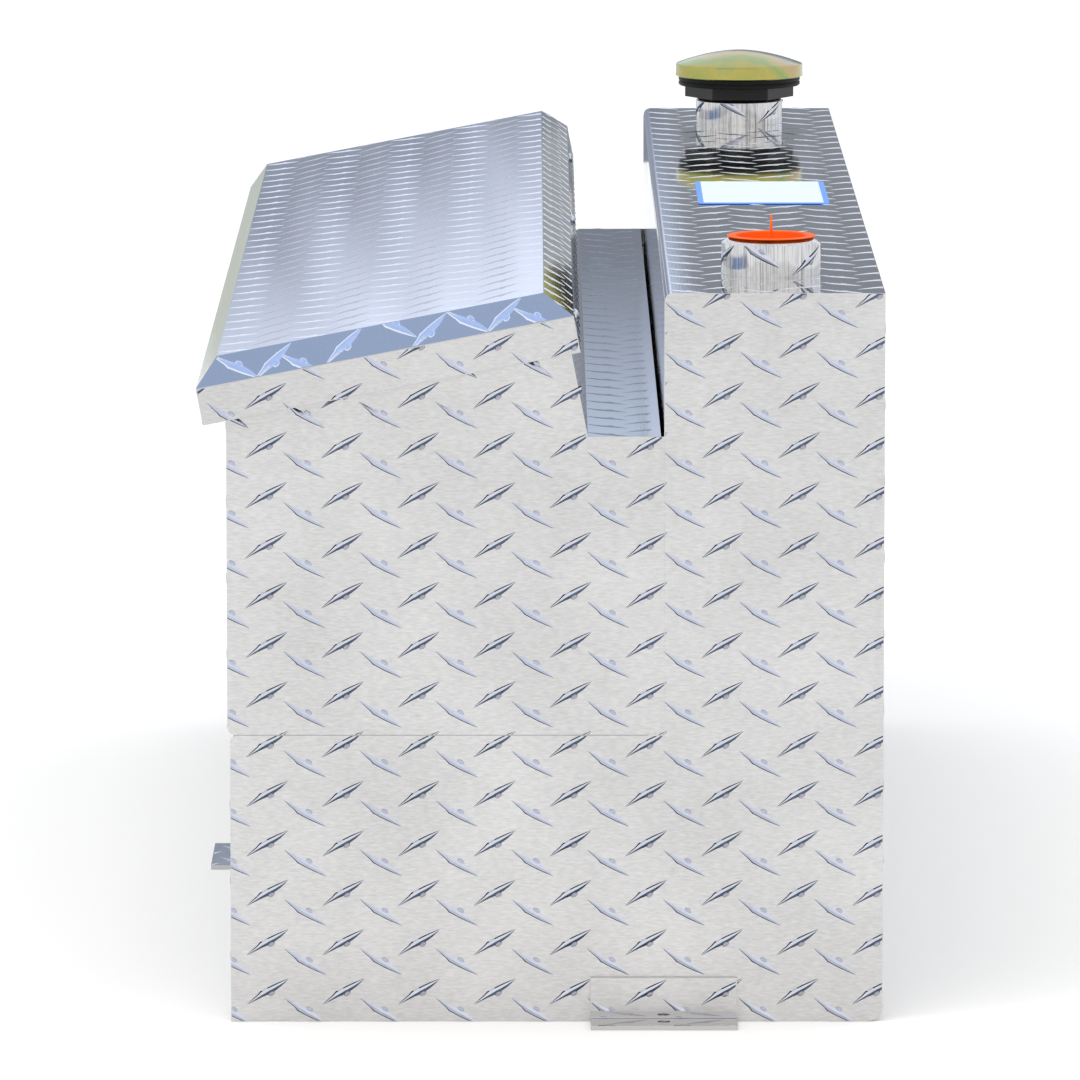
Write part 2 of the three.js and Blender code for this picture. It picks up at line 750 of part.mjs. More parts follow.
// ---- assembly -------------------------------------------------------------------------------
tankWraps();
tankEnds();
tankBaffles();
tankPorts();
bungPlug();
fillerCap();
tankLabel();
bracket('mount_bracket_near', Math.PI / 2, portX - 85.3, nearEnd - gap);
bracket('mount_bracket_far', -Math.PI / 2, portX - 85.3, farEnd + gap);
bracket('mount_bracket_front', 0, 0, 0);
toolboxBody();
toolboxRim();
lidShell();
lidInside();
lidHinge();
hingeRivets();
strut(-1, 'near');
strut(1, 'far');
frontLatch();

export default object;
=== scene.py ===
"""Looks for a combination liquid tank and toolbox in tread plate.

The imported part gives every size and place. This script adds the raised lugs of the tread plate,
the smooth turned and moulded pieces, a finish for every piece, and a plain studio.
"""

import json
import logging
import math
from collections.abc import Callable, Iterator, Sequence
from dataclasses import dataclass, field
from enum import Enum

import bmesh
import bpy
import numpy as np
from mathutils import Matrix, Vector

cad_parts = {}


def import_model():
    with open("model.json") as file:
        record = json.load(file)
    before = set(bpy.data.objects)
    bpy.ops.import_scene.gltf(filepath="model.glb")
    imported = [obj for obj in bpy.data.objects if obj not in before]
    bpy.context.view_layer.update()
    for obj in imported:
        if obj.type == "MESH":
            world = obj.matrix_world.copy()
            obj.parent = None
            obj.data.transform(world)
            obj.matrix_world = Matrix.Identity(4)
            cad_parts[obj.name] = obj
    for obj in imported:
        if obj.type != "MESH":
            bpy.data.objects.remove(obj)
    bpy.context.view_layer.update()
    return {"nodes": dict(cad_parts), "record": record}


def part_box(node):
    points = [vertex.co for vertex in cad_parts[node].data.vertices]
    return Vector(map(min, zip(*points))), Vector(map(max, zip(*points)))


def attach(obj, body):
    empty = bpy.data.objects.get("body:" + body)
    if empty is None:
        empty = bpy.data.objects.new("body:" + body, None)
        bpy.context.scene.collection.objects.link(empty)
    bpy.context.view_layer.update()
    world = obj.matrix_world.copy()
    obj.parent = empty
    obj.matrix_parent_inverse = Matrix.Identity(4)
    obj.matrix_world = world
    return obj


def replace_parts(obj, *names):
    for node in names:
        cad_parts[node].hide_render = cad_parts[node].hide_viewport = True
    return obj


LOG = logging.getLogger("scene")
MM = 0.001

# levels and places of the folded sheets, from the tank's front face, and the lean of the lid
STEP = 0.2257
SHELF = 0.4597
TALL_FRONT = 0.3375
SLANT = math.radians(11)
THREAD_PITCH = 0.002209
THREAD_DEPTH = 0.0011

Colour = tuple[float, float, float]
Point = tuple[float, float]
Spot = Callable[[float, float, float], tuple]


# ---- shader expressions ----------------------------------------------------------------------
class Signal:
    """A number that varies over a surface, for use in Python expressions."""

    def __init__(self, recipe: "Recipe", socket: bpy.types.NodeSocket) -> None:
        """Wraps one output socket of a recipe's node."""
        self.recipe = recipe
        self.socket = socket

    def _math(self, operation: str, first: object, second: object) -> "Signal":
        """Adds one Math node.

        Args:
            operation: The Math node's operation.
            first: Its first operand, a signal or a number.
            second: Its second operand.

        Returns:
            The node's result.
        """
        node = self.recipe.node("ShaderNodeMath", {"operation": operation}, {0: first, 1: second})
        return Signal(self.recipe, node.outputs[0])

    def __add__(self, other: object) -> "Signal":
        """Returns self + other."""
        return self._math("ADD", self, other)

    def __radd__(self, other: object) -> "Signal":
        """Returns other + self."""
        return self._math("ADD", other, self)

    def __sub__(self, other: object) -> "Signal":
        """Returns self - other."""
        return self._math("SUBTRACT", self, other)

    def __rsub__(self, other: object) -> "Signal":
        """Returns other - self."""
        return self._math("SUBTRACT", other, self)

    def __mul__(self, other: object) -> "Signal":
        """Returns self * other."""
        return self._math("MULTIPLY", self, other)

    def __rmul__(self, other: object) -> "Signal":
        """Returns other * self."""
        return self._math("MULTIPLY", other, self)

    def __gt__(self, other: object) -> "Signal":
        """Returns 1 where self is above other, else 0."""
        return self._math("GREATER_THAN", self, other)

    def __lt__(self, other: object) -> "Signal":
        """Returns 1 where self is below other, else 0."""
        return self._math("LESS_THAN", self, other)

    def between(self, low: float, high: float) -> "Signal":
        """Maps low to 0 and high to 1, and holds the result within that range."""
        node = self.recipe.node(
            "ShaderNodeMapRange", {"clamp": True}, {"Value": self, "From Min": low, "From Max": high}
        )
        return Signal(self.recipe, node.outputs[0])


class Recipe:
    """The node tree of one material or of the world, with one method that makes any node."""

    def __init__(self, tree: bpy.types.NodeTree) -> None:
        """Starts from an empty tree."""
        self.tree = tree
        tree.nodes.clear()

    def node(self, kind: str, settings: dict | None = None, inputs: dict | None = None) -> bpy.types.Node:
        """Makes a node.

        Args:
            kind: The node's type name.
            settings: Its own settings, set first. "stops" holds a ramp's (place, colour) pairs.
            inputs: Values or links of its sockets, by name or by index.

        Returns:
            The node.
        """
        made = self.tree.nodes.new(kind)
        for name, value in (settings or {}).items():
            if name == "stops":
                self._set_stops(made.color_ramp, value)
            else:
                setattr(made, name, value)
        for key, value in (inputs or {}).items():
            self.feed(made.inputs[key], value)
        return made

    @staticmethod
    def _set_stops(ramp: bpy.types.ColorRamp, stops: Sequence[tuple[float, Colour]]) -> None:
        """Sets a colour ramp's stops from (place, colour) pairs."""
        while len(ramp.elements) < len(stops):
            ramp.elements.new(1.0)
        for element, (place, colour) in zip(ramp.elements, stops, strict=True):
            element.position = place
            element.color = (*colour, 1.0)

    def feed(self, socket: bpy.types.NodeSocket, value: object) -> None:
        """Links or sets one input socket.

        Args:
            socket: The socket to feed.
            value: A signal, another socket, a colour or a number.
        """
        if isinstance(value, Signal):
            self.tree.links.new(value.socket, socket)
        elif isinstance(value, bpy.types.NodeSocket):
            self.tree.links.new(value, socket)
        elif socket.type == "RGBA" and len(value) == 3:
            socket.default_value = (*value, 1.0)
        else:
            socket.default_value = value

    def place(self, scale: Colour = (1.0, 1.0, 1.0), shift: Colour = (0.0, 0.0, 0.0)) -> bpy.types.NodeSocket:
        """Returns the object's own coordinates, scaled and shifted."""
        coordinates = self.node("ShaderNodeTexCoord").outputs["Object"]
        settings = {"operation": "MULTIPLY_ADD"}
        return self.node("ShaderNodeVectorMath", settings, {0: coordinates, 1: scale, 2: shift}).outputs[0]

    def axes(self, shift: Colour = (0.0, 0.0, 0.0)) -> tuple[Signal, Signal, Signal]:
        """Returns the object's own x, y and z as signals, after a shift."""
        split = self.node("ShaderNodeSeparateXYZ", inputs={0: self.place(shift=shift)})
        return tuple(Signal(self, split.outputs[i]) for i in range(3))

    def noise(self, place: object, scale: float = 1.0, detail: float = 2.0, sharp: float = 0.5) -> Signal:
        """Returns smooth noise from 0 to 1.

        Args:
            place: The coordinates to read it at.
            scale: Features per metre of those coordinates.
            detail: Octaves.
            sharp: How strong the finer octaves are.

        Returns:
            The noise.
        """
        inputs = {"Vector": place, "Scale": scale, "Detail": detail, "Roughness": sharp}
        return Signal(self, self.node("ShaderNodeTexNoise", inputs=inputs).outputs[0])

    def cells(self, place: object, scale: float) -> Signal:
        """Returns the distance field of scattered cells."""
        made = self.node("ShaderNodeTexVoronoi", inputs={"Vector": place, "Scale": scale})
        return Signal(self, made.outputs[0])

    def mix(self, factor: object, first: object, second: object) -> bpy.types.NodeSocket:
        """Returns a colour mixed from two others by a factor."""
        return self.node("ShaderNodeMix", {"data_type": "RGBA"}, {0: factor, 6: first, 7: second}).outputs[2]

    def bump(self, height: Signal, depth: float) -> bpy.types.NodeSocket:
        """Returns the normal of a surface with this height, of that depth in metres."""
        inputs = {"Strength": 1.0, "Distance": depth, "Height": height}
        return self.node("ShaderNodeBump", inputs=inputs).outputs[0]


class Grain(Enum):
    """The way a finish's fine lines run, as noise features per metre along x, y and z: brushed grain on
    plate, streaks of painted reflection on turned metal.
    """

    ACROSS = (150.0, 720.0, 720.0)
    LENGTHWISE = (1100.0, 22.0, 1100.0)
    UPRIGHT = (1100.0, 1100.0, 22.0)
    NONE = (260.0, 260.0, 260.0)


# ---- finishes --------------------------------------------------------------------------------
@dataclass(frozen=True)
class Finish:
    """What every finish shares: a name, a base colour and a way to become a material."""

    name: str
    colour: Colour
    rough: float = 0.4

    def paint(self, recipe: Recipe) -> dict:
        """Returns the Principled sockets of this finish; each kind of finish has its own."""
        raise NotImplementedError

    def material(self) -> bpy.types.Material:
        """Returns the material, made on first use."""
        title = f"finish_{self.name}"
        known = bpy.data.materials.get(title)
        if known:
            return known
        made = bpy.data.materials.new(title)
        made.use_nodes = True
        recipe = Recipe(made.node_tree)
        shader = recipe.node("ShaderNodeBsdfPrincipled", inputs=self.paint(recipe))
        recipe.node("ShaderNodeOutputMaterial", inputs={"Surface": shader.outputs[0]})
        made.diffuse_color = (*self.colour, 1.0)
        return made


def shade(colour: Colour, share: float) -> Colour:
    """Returns a colour made lighter or darker."""
    return tuple(min(1.0, c * share) for c in colour)


@dataclass(frozen=True)
class Plate(Finish):
    """Rolled aluminium plate: bright metal with a fine brushed grain and faint handling marks."""

    grain: Grain = Grain.ACROSS
    contrast: float = 0.07

    def paint(self, recipe: Recipe) -> dict:
        """Returns bright metal whose grain drives colour, gloss and relief."""
        fine = recipe.noise(recipe.place(self.grain.value), detail=3.0, sharp=0.62)
        broad = recipe.noise(recipe.place(), scale=9.0, detail=3.0)
        smudge = recipe.noise(recipe.place(shift=(3.1, 1.7, 0.4)), scale=26.0, detail=4.0).between(0.55, 0.75)
        tone = (fine - 0.5) * 1.3 + (broad - 0.5) * 0.7 + 0.5
        dark, light = shade(self.colour, 1 - self.contrast), shade(self.colour, 1 + self.contrast)
        return {
            "Base Color": recipe.mix(tone.between(0.0, 1.0), dark, light),
            "Metallic": 1.0,
            "Roughness": self.rough + (fine - 0.5) * 0.06 + smudge * 0.05,
            "Normal": recipe.bump(fine, 0.00002),
        }


@dataclass(frozen=True)
class Turned(Finish):
    """Machined aluminium, polished, with fine streaks whose colour swing is painted reflection, and darker
    blotches.
    """

    grain: Grain = Grain.UPRIGHT

    def paint(self, recipe: Recipe) -> dict:
        """Returns polished metal with fine streaks, their colour swing painted reflection."""
        streak = recipe.noise(recipe.place(self.grain.value), detail=4.0, sharp=0.65)
        blotch = recipe.noise(recipe.place(), scale=45.0, detail=3.0).between(0.5, 0.8)
        # painted reflection: the streaks swing the colour between a quarter of itself and the full colour;
        # the blotches darken it further
        tone = (streak.between(0.34, 0.52) - blotch * 0.6).between(-0.2, 1.0)
        dark = (self.colour[0] * 0.26, self.colour[1] * 0.25, self.colour[2] * 0.25)
        return {
            "Base Color": recipe.mix(tone, dark, self.colour),
            "Metallic": 1.0,
            "Roughness": self.rough + streak * 0.05 + blotch * 0.06,
            "Normal": recipe.bump(streak, 0.00002),
        }


@dataclass(frozen=True)
class Zinc(Finish):
    """Clear zinc plate: a pale metal with small bluish crystals."""

    def paint(self, recipe: Recipe) -> dict:
        """Returns satin plating with a faint mottle."""
        mottle = recipe.cells(recipe.place(), 420.0)
        cloud = recipe.noise(recipe.place(), scale=120.0, detail=3.0)
        tone = (mottle * 0.6 + cloud * 0.6).between(0.1, 0.9)
        cool = (self.colour[0] * 0.86, self.colour[1] * 0.9, self.colour[2] * 0.98)
        return {
            "Base Color": recipe.mix(tone, cool, self.colour),
            "Metallic": 1.0,
            "Roughness": self.rough + cloud * 0.12,
            "Normal": recipe.bump(cloud, 0.00003),
        }


@dataclass(frozen=True)
class YellowZinc(Finish):
    """Yellow passivated zinc: gold metal under a film of drifting green, pink and blue."""

    centre: tuple[float, float, float] = (0.0, 0.0, 0.0)

    def paint(self, recipe: Recipe) -> dict:
        """Returns the iridescent film as bands that wander over the dome."""
        drift = recipe.noise(recipe.place(), scale=22.0, detail=3.0, sharp=0.55)
        x, y, z = recipe.axes(tuple(-c for c in self.centre))
        lean = x * 4.0 + y * 5.0 + z * 9.0
        film = (drift * 1.1 + lean - 0.1).between(0.0, 1.0)
        stops = [
            (0.0, (0.27, 0.32, 0.07)),
            (0.24, (0.39, 0.34, 0.08)),
            (0.42, (0.20, 0.33, 0.13)),
            (0.56, (0.42, 0.36, 0.13)),
            (0.72, (0.46, 0.31, 0.21)),
            (0.86, (0.18, 0.35, 0.33)),
            (1.0, (0.39, 0.37, 0.16)),
        ]
        ramp = recipe.node("ShaderNodeValToRGB", {"stops": stops}, {0: film}).outputs[0]
        fine = recipe.noise(recipe.place(), scale=900.0, detail=2.0)
        return {
            "Base Color": recipe.mix(fine * 0.25, ramp, self.colour),
            "Metallic": 1.0,
            "Roughness": self.rough + drift * 0.1,
            "Normal": recipe.bump(fine, 0.00002),
        }


@dataclass(frozen=True)
class Moulded(Finish):
    """Moulded plastic or rubber with a fine spark texture and slightly paler scuffs."""

    texture: float = 900.0
    relief: float = 0.00004
    glow: float = 0.5

    def paint(self, recipe: Recipe) -> dict:
        """Returns a dull skin with a fine texture."""
        fine = recipe.noise(recipe.place(), scale=self.texture, detail=3.0, sharp=0.6)
        cloud = recipe.noise(recipe.place(), scale=60.0, detail=4.0).between(0.4, 0.8)
        tone = (fine * 0.4 + cloud * 0.6).between(0.1, 0.9)
        return {
            "Base Color": recipe.mix(tone, shade(self.colour, 0.86), shade(self.colour, 1.16)),
            "Roughness": self.rough + cloud * 0.12,
            "Specular IOR Level": self.glow,
            "Normal": recipe.bump(fine, self.relief),
        }


@dataclass(frozen=True)
class Film(Finish):
    """A printed vinyl film: white, with blue edges at three sides."""

    low: Point = (0.0, 0.0)
    high: Point = (1.0, 1.0)
    edge: Colour = (0.09, 0.30, 0.93)
    side: float = 0.0047
    near_side: float = 0.008

    def paint(self, recipe: Recipe) -> dict:
        """Returns the film with its border printed from its own size."""
        x, y, _ = recipe.axes()
        sides = (x < self.low[0] + self.side) + (x > self.high[0] - self.side)
        border = (sides + (y < self.low[1] + self.near_side)).between(0.0, 1.0)
        wrinkle = recipe.noise(recipe.place(), scale=140.0, detail=3.0)
        white = recipe.mix(wrinkle, shade(self.colour, 0.96), self.colour)
        return {
            "Base Color": recipe.mix(border, white, self.edge),
            "Roughness": self.rough + wrinkle * 0.1,
            "Normal": recipe.bump(wrinkle, 0.00005),
        }


@dataclass(frozen=True)
class Ground(Finish):
    """The studio floor: a pale, even paint."""

    def paint(self, recipe: Recipe) -> dict:
        """Returns a dull white with a barely visible variation."""
        cloud = recipe.noise(recipe.place(), scale=0.8, detail=2.0)
        return {
            "Base Color": recipe.mix(cloud, shade(self.colour, 0.985), self.colour),
            "Roughness": self.rough,
            "Specular IOR Level": 0.0,
        }


PLATE_GREY: Colour = (0.56, 0.555, 0.555)
END_GREY: Colour = (0.595, 0.59, 0.59)
END_PLATE = Plate("end_plate", END_GREY, 0.30, grain=Grain.ACROSS, contrast=0.2)
# the riser's plate is a brighter and bluer copy of the plate colour: painted light and painted sky reflection
# on a wall beside the shaded trough
WALL_PLATE_PAINTED_LIGHT = Plate("wall_plate_painted_light", (0.86, 0.87, 0.92), 0.06, grain=Grain.LENGTHWISE)
WRAP_PLATE = Plate("wrap_plate", PLATE_GREY, 0.045, grain=Grain.LENGTHWISE)
# The lug finishes are lit and shaded copies of the plate colour, one per kind of facet: crest, pale and face
# paint highlight and reflected sky; shadow, deep and foot paint shade, from half shade to near black.
LUG_PAINTED_HIGHLIGHT = Plate("lug_painted_highlight", (0.74, 0.77, 0.87), 0.16, grain=Grain.NONE, contrast=0.05)
LUG_PAINTED_PALE_LIGHT = Plate("lug_painted_pale_light", (0.44, 0.47, 0.58), 0.30, grain=Grain.NONE, contrast=0.12)
LUG_PAINTED_MID_LIGHT = Plate("lug_painted_mid_light", (0.60, 0.63, 0.72), 0.30, grain=Grain.NONE, contrast=0.08)
LUG_SHADOW = Plate("lug_shadow", (0.09, 0.115, 0.165), 0.28, grain=Grain.NONE, contrast=0.35)
LUG_PAINTED_DEEP_SHADE = Plate("lug_painted_deep_shade", (0.022, 0.026, 0.036), 0.35, grain=Grain.NONE, contrast=0.2)
LUG_PAINTED_HALF_SHADE = Plate("lug_painted_half_shade", (0.36, 0.36, 0.42), 0.2, grain=Grain.NONE, contrast=0.1)
MILL = Plate("mill_aluminium", (0.66, 0.67, 0.68), 0.33, grain=Grain.LENGTHWISE, contrast=0.1)
POLISHED = Turned("polished_aluminium", (0.70, 0.70, 0.71), 0.05)
PADDLE_METAL = Turned("latch_metal", (0.78, 0.78, 0.79), 0.1, grain=Grain.LENGTHWISE)
STRUT_ROD = Turned("strut_rod_chrome", (0.80, 0.81, 0.83), 0.04, grain=Grain.NONE)
ZINC = Zinc("zinc_steel", (0.66, 0.68, 0.71), 0.26)
BLACK_PLASTIC = Moulded("black_plastic", (0.012, 0.012, 0.013), 0.28, glow=0.25)
BLACK_RUBBER = Moulded("black_rubber", (0.010, 0.010, 0.010), 0.5, glow=0.15, texture=500.0, relief=0.00006)
BLACK_PAINT = Moulded("black_paint", (0.018, 0.018, 0.020), 0.24, texture=240.0, relief=0.00002)
ORANGE = Moulded("orange_plastic", (0.98, 0.12, 0.004), 0.45, texture=700.0, glow=0.12)

SLOT_FINISHES: dict[str, Finish] = {
    "tread_plate": WRAP_PLATE,
    "mill_aluminium": MILL,
    "polished_aluminium": POLISHED,
    "zinc_steel": ZINC,
    "yellow_zinc": ZINC,
    "black_plastic": BLACK_PLASTIC,
    "black_rubber": BLACK_RUBBER,
    "black_paint": BLACK_PAINT,
    "orange_plastic": ORANGE,
    "label_vinyl": ZINC,
}


# ---- mesh work -------------------------------------------------------------------------------
def make_piece(
    name: str,
    points: Sequence[Sequence[float]],
    faces: Sequence[Sequence[int]],
    finishes: Sequence[Finish],
    body: str,
    slots: Sequence[int] | None = None,
) -> bpy.types.Object:
    """Makes a mesh object that rides on a body.

    Args:
        name: The piece's name.
        points: Its vertices, in the row frame.
        faces: Vertex numbers of each face.
        finishes: Its finishes, one per material slot.
        body: The body that it moves with.
        slots: The material slot of each face, all 0 if left out.

    Returns:
        The object.
    """
    mesh = bpy.data.meshes.new(name)
    mesh.from_pydata([tuple(p) for p in points], [], [tuple(f) for f in faces])
    for finish in finishes:
        mesh.materials.append(finish.material())
    if slots is not None:
        mesh.polygons.foreach_set("material_index", list(slots))
    mesh.update()
    made = bpy.data.objects.new(name, mesh)
    bpy.context.scene.collection.objects.link(made)
    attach(made, body)
    return made


def smooth(piece: bpy.types.Object, angle: float = 32.0) -> bpy.types.Object:
    """Shades a piece smooth except across edges sharper than an angle in degrees."""
    piece.data.polygons.foreach_set("use_smooth", [True] * len(piece.data.polygons))
    piece.data.set_sharp_from_angle(angle=math.radians(angle))
    return piece


def turned(profile: Sequence[Point], centre: Vector, steps: int = 96) -> tuple[list, list]:
    """Turns a profile about a vertical axis.

    Args:
        profile: (radius, height) pairs, in metres, height above the centre. A closed loop ends
            where it started; a solid one starts and ends on the axis.
        centre: The axis's foot.
        steps: Facets round the axis.

    Returns:
        The points and faces, closed where the profile meets the axis or itself.
    """
    loop = list(profile)
    closed = loop[0] == loop[-1]
    if closed:
        loop = loop[:-1]
    points: list[tuple[float, float, float]] = []
    rings: list[list[int]] = []
    for radius, rise in loop:
        count = 1 if radius < 1e-9 else steps
        rings.append(list(range(len(points), len(points) + count)))
        for k in range(count):
            turn = 2 * math.pi * k / steps
            points.append(
                (centre.x + radius * math.cos(turn), centre.y + radius * math.sin(turn), centre.z + rise)
            )
    faces = []
    pairs = list(zip(rings, rings[1:] + rings[:1], strict=True))
    for low, high in pairs if closed else pairs[:-1]:
        for k in range(steps):
            n = k + 1
            corners = [low[k % len(low)], low[n % len(low)], high[n % len(high)], high[k % len(high)]]
            corners = [c for i, c in enumerate(corners) if c not in corners[:i]]
            if len(corners) > 2:
                faces.append(corners)
    return points, faces


def rounded(corners: Sequence[tuple[float, float, float]], steps: int = 5) -> list[Point]:
    """Rounds the corners of a closed outline.

    Args:
        corners: (x, y, radius) triples.
        steps: Chords per rounded corner.

    Returns:
        The outline's points.
    """
    outline: list[Point] = []
    for i, (x, y, radius) in enumerate(corners):
        here = Vector((x, y))
        if radius <= 0:
            outline.append((x, y))
            continue
        before = (Vector(corners[i - 1][:2]) - here).normalized()
        after = (Vector(corners[(i + 1) % len(corners)][:2]) - here).normalized()
        half = math.acos(max(-1.0, min(1.0, before.dot(after)))) / 2
        centre = here + (before + after).normalized() * (radius / math.sin(half))
        start = here + before * (radius / math.tan(half)) - centre
        end = here + after * (radius / math.tan(half)) - centre
        sweep = math.atan2(start.x * end.y - start.y * end.x, start.dot(end))
        for k in range(steps + 1):
            turn = sweep * k / steps
            cos, sin = math.cos(turn), math.sin(turn)
            outline.append(
                (centre.x + start.x * cos - start.y * sin, centre.y + start.x * sin + start.y * cos)
            )
    return outline


def prism(outline: Sequence[Point], place: Spot, low: float, high: float) -> tuple[list, list]:
    """Extrudes an outline.

    Args:
        outline: Its points.
        place: Maps an outline point and a height to the row frame.
        low: The height of the first end.
        high: The height of the other end.

    Returns:
        The points and faces of a closed solid.
    """
    n = len(outline)
    points = [place(x, y, low) for x, y in outline] + [place(x, y, high) for x, y in outline]
    sides = [(k, (k + 1) % n, n + (k + 1) % n, n + k) for k in range(n)]
    return points, [tuple(reversed(range(n))), tuple(range(n, 2 * n)), *sides]


def fix_normals(piece: bpy.types.Object) -> bpy.types.Object:
    """Turns every face of a closed piece outwards."""
    work = bmesh.new()
    work.from_mesh(piece.data)
    bmesh.ops.recalc_face_normals(work, faces=work.faces[:])
    work.to_mesh(piece.data)
    work.free()
    return piece


def plate_face(
    name: str,
    outline: Sequence[Point],
    place: Spot,
    low: float,
    high: float,
    finish: Finish,
    body: str = "tank",
) -> bpy.types.Object:
    """Builds a thin face of tread plate.

    Args:
        name: The piece's name.
        outline: Its outline.
        place: Maps an outline point and a height to the row frame.
        low: The height of its back.
        high: The height of its front.
        finish: Its finish.
        body: The body that it moves with.

    Returns:
        The face.
    """
    points, faces = prism(outline, place, low, high)
    return fix_normals(make_piece(name, points, faces, [finish], body))


def on_end(x: float, y: float) -> Spot:
    """Returns the mapping of an upright end face whose outline runs along x and z."""
    return lambda s, t, r: (x + s, y + r, t)


def foot_and_box(node: str) -> tuple[Vector, Vector, Vector]:
    """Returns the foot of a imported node's upright axis, and the low and high corners of its box."""
    low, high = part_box(node)
    return Vector(((low.x + high.x) / 2, (low.y + high.y) / 2, 0.0)), low, high


def thread(centre: Vector, rises: Sequence[float], steps: int, reach: Callable[[int, float], float]) -> list:
    """Makes the points of a screw thread, ring by ring.

    Args:
        centre: The foot of its axis.
        rises: The height of each ring.
        steps: Points round a ring.
        reach: Maps a ring's number and the share of the way from crest to root to a radius.

    Returns:
        The points.
    """
    points = []
    for row, rise in enumerate(rises):
        for k in range(steps):
            turn = 2 * math.pi * k / steps
            away = abs(2 * ((rise / THREAD_PITCH - k / steps) % 1.0) - 1)
            radius = reach(row, away)
            points.append((centre.x + radius * math.cos(turn), centre.y + radius * math.sin(turn), rise))
    return points


def rings_of(start: int, count: int, steps: int) -> list[list[int]]:
    """Returns the vertex numbers of rings that follow each other."""
    return [list(range(start + row * steps, start + (row + 1) * steps)) for row in range(count)]


def strips(rings: Sequence[Sequence[int]]) -> list[tuple[int, ...]]:
    """Returns the faces that join each ring to the next."""
    found = []
    for above, below in zip(rings, rings[1:], strict=False):
        n = len(above)
        found += [(above[k], above[(k + 1) % n], below[(k + 1) % n], below[k]) for k in range(n)]
    return found


def ease_edges(piece: bpy.types.Object, width: float, angle: float = 40.0) -> bpy.types.Object:
    """Rounds a piece's sharp edges and keeps its flats flat.

    Args:
        piece: The object to dress.
        width: The round's size, in metres.
        angle: Edges sharper than this many degrees are rounded.

    Returns:
        The object.
    """
    bevel = piece.modifiers.new("eased_edges", "BEVEL")
    bevel.width = width
    bevel.segments = 2
    bevel.limit_method = "ANGLE"
    bevel.angle_limit = math.radians(angle)
    normals = piece.modifiers.new("even_normals", "WEIGHTED_NORMAL")
    normals.keep_sharp = True
    return piece


def soften_node(node: bpy.types.Object, width: float = 0.0) -> None:
    """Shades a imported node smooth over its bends, and eases its edges if a width is given.

    Args:
        node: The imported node; its own vertices stay as they are.
        width: The eased edge's size, in metres, or 0 for none.
    """
    mesh = node.data
    if "custom_normal" in mesh.attributes:
        mesh.attributes.remove(mesh.attributes["custom_normal"])
    mesh.polygons.foreach_set("use_smooth", [True] * len(mesh.polygons))
    weld = node.modifiers.new("joined_corners", "WELD")
    weld.merge_threshold = 0.00001
    if width:
        flats = node.modifiers.new("whole_flats", "DECIMATE")
        flats.decimate_type = "DISSOLVE"
        flats.angle_limit = math.radians(0.5)
        ease_edges(node, width)
    else:
        split = node.modifiers.new("crisp_edges", "EDGE_SPLIT")
        split.split_angle = math.radians(38)
        node.modifiers.new("even_normals", "WEIGHTED_NORMAL")


# ---- tread plate -----------------------------------------------------------------------------
class Flank(Enum):
    """The material slots of a lug's facets, each a lit or shaded copy of the plate colour: painted highlight,
    painted light and painted shade.
    """

    CREST = 0
    PALE = 1
    SHADOW = 2
    DEEP = 3
    FOOT = 4
    FACE = 5


class Tone(Enum):
    """How a panel's lugs stand out from it, by painted light and shade: upright panels shade each facet by
    the way it faces, BRIGHT paints every facet as highlight, DARK every facet in shade, and MIXED paints
    rising lugs in half shade and falling lugs as highlight.
    """

    UPRIGHT = 0
    BRIGHT = 1
    DARK = 2
    MIXED = 3


